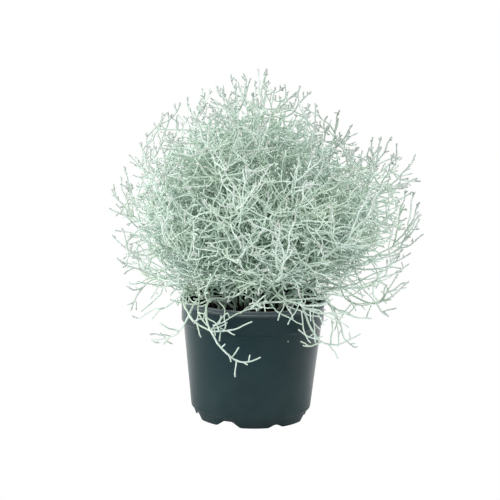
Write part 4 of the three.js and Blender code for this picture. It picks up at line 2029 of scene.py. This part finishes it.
@dataclass(frozen=True)
class FeltFinish:
    """The felt on the shoots: silvery, warmer in broad patches, grey at the tips, and dark green deep in
    the bush, partly older wood and partly painted shade.
    """

    effects: Effects
    pale: Colour = (0.7, 0.775, 0.745)
    mint: Colour = (0.445, 0.61, 0.5)
    # Dark green for older wood, which is also painted shade on stems deep inside the bush
    old_and_shaded: Colour = (0.2, 0.35, 0.24)
    silver: Colour = (0.52, 0.58, 0.55)
    warm: Colour = (0.57, 0.68, 0.52)
    tip: Colour = (0.32, 0.34, 0.3)
    fuzz_share: float = 0.25
    warm_share: float = 0.5
    tip_share: float = 0.85
    tip_sharpness: float = 8.0
    roughness: Pair = (0.78, 0.95)
    sheen: Pair = (0.35, 0.45)
    specular: float = 0.25
    relief: Pair = (0.5, 0.15)

    def material(self) -> bpy.types.Material:
        """Makes the material.

        Returns:
            The new material.
        """
        material, shader, surface = new_material("white_felt")
        patches = shader.group(self.effects.mottle, Scale=190.0, Detail=3.0, Contrast=2.6)
        fuzz = shader.group(self.effects.mottle, Scale=2600.0, Detail=3.0, Contrast=1.6)
        broad = shader.group(self.effects.mottle, Scale=32.0, Detail=2.0, Contrast=4.0)
        age = shader.node("ShaderNodeAttribute", attribute_name="age")
        tip = shader.node("ShaderNodeAttribute", attribute_name="tip")
        young = shader.mix(patches.outputs["Mask"], self.mint, self.pale)
        fuzzy = shader.mix(shader.scaled(fuzz.outputs["Mask"], 0.0, self.fuzz_share), young, self.pale)
        tinted = shader.mix(shader.scaled(broad.outputs["Mask"], 0.0, self.warm_share), fuzzy, self.warm)
        # Turns stems dark green by how deep in the bush they grow: older wood and painted shade
        aged_and_shaded = shader.mix(age.outputs["Fac"], tinted, self.old_and_shaded)
        silvered = shader.mix(tip.outputs["Fac"], aged_and_shaded, self.silver)
        end = shader.math("POWER", tip.outputs["Fac"], self.tip_sharpness)
        worn = shader.math("MULTIPLY", end, self.tip_share)
        tipped = shader.mix(worn, silvered, self.tip)
        shader.join(tipped, surface.inputs["Base Color"])
        shader.join(shader.scaled(fuzz.outputs["Mask"], *self.roughness), surface.inputs["Roughness"])
        weight, spread = self.sheen
        shader.give(surface, Sheen_Weight=weight, Sheen_Roughness=spread, Specular_IOR_Level=self.specular)
        shader.relieve(surface, fuzz.outputs["Height"], *self.relief)
        return material


@dataclass(frozen=True)
class PlasticFinish:
    """The pot's dark slate plastic, with a soft gloss, faint clouds, a few specks and grey dusting, which
    also paints a highlight on the rim and a floor reflection towards the foot.
    """

    effects: Effects
    body: Colour = (0.001, 0.0145, 0.018)
    cloudy: Colour = (0.004, 0.0255, 0.0295)
    # Grey dusting, which also paints a highlight on the rim and a floor reflection towards the foot
    dust_and_light: Colour = (0.3, 0.34, 0.35)
    speck: Colour = (0.5, 0.52, 0.48)
    roughness: Pair = (0.27, 0.37)
    # Heights over which the rim's dusting and painted highlight come in
    rim_dust_and_highlight_heights: Pair = (103.0, 106.0)
    # Heights over which grey dusting and painted floor reflection grow towards the foot
    foot_dust_and_reflection_heights: Pair = (85.0, 12.0)
    foot_dust_and_reflection: float = 0.045
    wall_dust_and_highlight: float = 0.2
    thinnest_dust_and_light: float = 0.55
    specular: float = 0.2
    relief: Pair = (0.35, 0.12)

    def material(self) -> bpy.types.Material:
        """Makes the material.

        Returns:
            The new material.
        """
        material, shader, surface = new_material("slate_plastic")
        clouds = shader.group(self.effects.mottle, Scale=26.0, Detail=5.0, Contrast=1.7)
        film = shader.group(self.effects.mottle, Scale=75.0, Detail=8.0, Contrast=3.2)
        skin = shader.group(self.effects.mottle, Scale=900.0, Detail=2.0, Contrast=1.0)
        specks = shader.group(self.effects.grit, Scale=130.0, Size=0.09, Share=0.08)
        place = shader.node("ShaderNodeTexCoord")
        parts = shader.node("ShaderNodeSeparateXYZ")
        shader.join(place.outputs["Object"], parts.inputs["Vector"])
        # The rim band's dusting and painted highlight, strongest on upward faces
        rim = shader.between(parts.outputs["Z"], *(height * MM for height in self.rim_dust_and_highlight_heights))
        # Grey that grows from the band down to the foot: dusting and painted floor reflection
        foot = shader.between(parts.outputs["Z"], *(height * MM for height in self.foot_dust_and_reflection_heights))
        facing = shader.node("ShaderNodeNewGeometry")
        normal = shader.node("ShaderNodeSeparateXYZ")
        shader.join(facing.outputs["Normal"], normal.inputs["Vector"])
        settled_dust_and_highlight = shader.math("MULTIPLY", shader.math("MAXIMUM", normal.outputs["Z"], self.wall_dust_and_highlight), rim)
        share = shader.math("MAXIMUM", settled_dust_and_highlight, shader.math("MULTIPLY", foot, self.foot_dust_and_reflection))
        plastic = shader.mix(clouds.outputs["Mask"], self.body, self.cloudy)
        smeared = shader.scaled(film.outputs["Mask"], self.thinnest_dust_and_light, 1.0)
        # Mixes in the grey dusting with its painted highlight and painted floor reflection
        dust_and_light_share = shader.math("MULTIPLY", smeared, share)
        dusted_and_lit = shader.mix(dust_and_light_share, plastic, self.dust_and_light)
        shader.join(shader.mix(specks.outputs["Mask"], dusted_and_lit, self.speck), surface.inputs["Base Color"])
        rough = shader.math("ADD", shader.scaled(clouds.outputs["Mask"], *self.roughness), dust_and_light_share)
        shader.join(rough, surface.inputs["Roughness"])
        shader.give(surface, Specular_IOR_Level=self.specular)
        shader.relieve(surface, skin.outputs["Height"], *self.relief)
        return material


@dataclass(frozen=True)
class PeatFinish:
    """Damp peat: nearly black, with browner fibres and a few light grains."""

    effects: Effects
    damp: Colour = (0.003, 0.0035, 0.003)
    fibre: Colour = (0.02, 0.014, 0.01)
    grain: Colour = (0.13, 0.12, 0.09)
    roughness: Pair = (0.75, 1.0)
    specular: float = 0.2
    relief: Pair = (0.9, 0.8)

    def material(self) -> bpy.types.Material:
        """Makes the material.

        Returns:
            The new material.
        """
        material, shader, surface = new_material("damp_peat")
        clods = shader.group(self.effects.mottle, Scale=260.0, Detail=8.0, Contrast=2.4)
        grit = shader.group(self.effects.grit, Scale=420.0, Size=0.16, Share=0.05)
        peat = shader.mix(clods.outputs["Mask"], self.damp, self.fibre)
        shader.join(shader.mix(grit.outputs["Mask"], peat, self.grain), surface.inputs["Base Color"])
        shader.join(shader.scaled(clods.outputs["Mask"], *self.roughness), surface.inputs["Roughness"])
        shader.give(surface, Specular_IOR_Level=self.specular)
        shader.relieve(surface, clods.outputs["Height"], *self.relief)
        return material


@dataclass(frozen=True)
class SoftBox:
    """A flat, soft lamp that faces the plant."""

    name: str
    place: Triple
    size: Pair
    power: float

    def build(self, aim: Vector) -> None:
        """Makes the lamp and turns it towards a point.

        Args:
            aim: The point.
        """
        data = bpy.data.lights.new(self.name, "AREA")
        data.shape = "RECTANGLE"
        data.size, data.size_y = self.size
        data.energy = self.power
        lamp = new_object(self.name, data)
        lamp.location = self.place
        lamp.rotation_euler = (aim - Vector(self.place)).to_track_quat("-Z", "Y").to_euler()


@dataclass
class Studio:
    """The white studio: a pale floor, soft lamps and the camera at the photograph's angle."""

    aim: Triple = (-0.0036, 0.0, 0.1512)
    elevation: float = 11.5
    distance: float = 2.2
    frame_width: float = 0.4453
    roll: float = 1.2
    sensor: float = 36.0
    seen_from_to: Pair = (0.1, 200.0)
    floor_reach: float = 60.0
    floor_sides: int = 64
    floor_grey: float = 0.84
    sky: Colour = (0.97, 0.99, 1.0)
    surroundings: float = 0.48
    lamps: tuple[SoftBox, ...] = (
        SoftBox("key_box", (-1.3, -1.4, 1.8), (1.2, 1.2), 14.0),
        SoftBox("fill_box", (1.5, -1.1, 1.9), (1.4, 1.2), 23.0),
        SoftBox("top_box", (0.3, 0.3, 1.9), (1.6, 1.6), 31.0),
        SoftBox("left_wall", (-1.25, 0.4, 0.4), (1.3, 1.1), 11.0),
        SoftBox("left_front", (-1.25, -0.55, 0.22), (1.2, 0.6), 11.0),
        SoftBox("right_strip", (1.15, 0.75, 0.45), (0.3, 1.0), 1.5),
    )

    def build(self) -> None:
        """Sets up the floor, the surroundings, the lamps and the camera."""
        self._floor()
        self._surroundings()
        for lamp in self.lamps:
            lamp.build(Vector(self.aim))
        self._camera()
        bpy.context.scene.view_settings.view_transform = "Standard"

    def _floor(self) -> None:
        """Makes the pale floor."""
        mesh = bmesh.new()
        bmesh.ops.create_circle(mesh, cap_ends=True, segments=self.floor_sides, radius=self.floor_reach)
        data = bpy.data.meshes.new("studio_floor")
        mesh.to_mesh(data)
        mesh.free()
        material, shader, surface = new_material("pale_floor")
        grey = (self.floor_grey, self.floor_grey, self.floor_grey, 1.0)
        shader.give(surface, Base_Color=grey, Roughness=1.0, Specular_IOR_Level=0.0)
        bright = shader.node("ShaderNodeEmission")
        result = material.node_tree.nodes["Material Output"].inputs["Surface"]
        shader.show_camera(bright.outputs["Emission"], surface.outputs["BSDF"], result)
        data.materials.append(material)
        floor = new_object("studio_floor", data)

    def _surroundings(self) -> None:
        """Makes soft light from all round, and plain white where the camera looks past the floor."""
        world = bpy.data.worlds.new("white_studio")
        world.use_nodes = True
        shader = Shader(world.node_tree)
        soft = world.node_tree.nodes["Background"]
        shader.give(soft, Color=(*self.sky, 1.0), Strength=self.surroundings)
        white = shader.node("ShaderNodeBackground")
        shader.give(white, Color=(1.0, 1.0, 1.0, 1.0), Strength=1.0)
        result = world.node_tree.nodes["World Output"].inputs["Surface"]
        shader.show_camera(white.outputs["Background"], soft.outputs["Background"], result)
        bpy.context.scene.world = world

    def _camera(self) -> None:
        """Makes the camera, a long lens a little above the pot's rim."""
        data = bpy.data.cameras.new("photo_camera")
        data.sensor_width = self.sensor
        data.lens = data.sensor_width * self.distance / self.frame_width
        data.clip_start, data.clip_end = self.seen_from_to
        camera = new_object("photo_camera", data)
        back = Vector(direction(-90, self.elevation))
        camera.location = Vector(self.aim) + back * self.distance
        turn = (-back).to_track_quat("-Z", "Y")
        camera.rotation_mode = "QUATERNION"
        camera.rotation_quaternion = turn @ Quaternion((0, 0, 1), math.radians(self.roll))
        bpy.context.scene.camera = camera


def triangles(piece: bpy.types.Object) -> int:
    """Counts the triangles that a piece's faces make."""
    return sum(len(face.vertices) - 2 for face in piece.data.polygons)


def place_piece(piece: bpy.types.Object, slot: str, *nodes: str) -> None:
    """Fastens a piece to the part's one body, hides the solids that it stands for and logs them with its
    triangles.

    Args:
        piece: The piece.
        slot: The name of its finish; not used.
        nodes: The solids that it stands for, if any.
    """
    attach(piece, "root")
    if nodes:
        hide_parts(*nodes)
    replaced = ", ".join(nodes) or "nothing"
    LOG.info("%s: %d triangles, stands for %s", piece.name, triangles(piece), replaced)


def corners(box: tuple[Vector, Vector]) -> list[list[float]]:
    """Gives a box's lowest and highest corner as plain lists."""
    return [list(corner) for corner in box]


def main() -> None:
    """Builds the pot, the soil, the sprays and the studio."""
    logging.basicConfig(level=logging.INFO, format="%(message)s")
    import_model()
    effects = Effects()
    pot = NurseryPot()
    pot_body = pot.build(PlasticFinish(effects))
    place_piece(pot_body, "pot_plastic", "pot")
    soil, crumbs = PottingSoil(pot).build(PeatFinish(effects))
    place_piece(soil, "soil", "potting_soil")
    place_piece(crumbs, "soil")
    pieces = [pot_body, soil, crumbs]
    plant = FinePlant()
    maker = SprayMaker()
    felt = FeltFinish(effects).material()
    for stem in range(len(PLACED_STEMS) + plant.framework.dome_stems):
        spray = maker.build(f"spray_{stem + 1:02d}", plant.of_stem(stem))
        spray.data.materials.append(felt)
        place_piece(spray, "felted_stem", f"stem_{stem + 1:02d}")
        pieces.append(spray)
    LOG.info("all pieces: %d triangles", sum(triangles(piece) for piece in pieces))
    Studio().build()


if __name__ == "__main__":
    main()
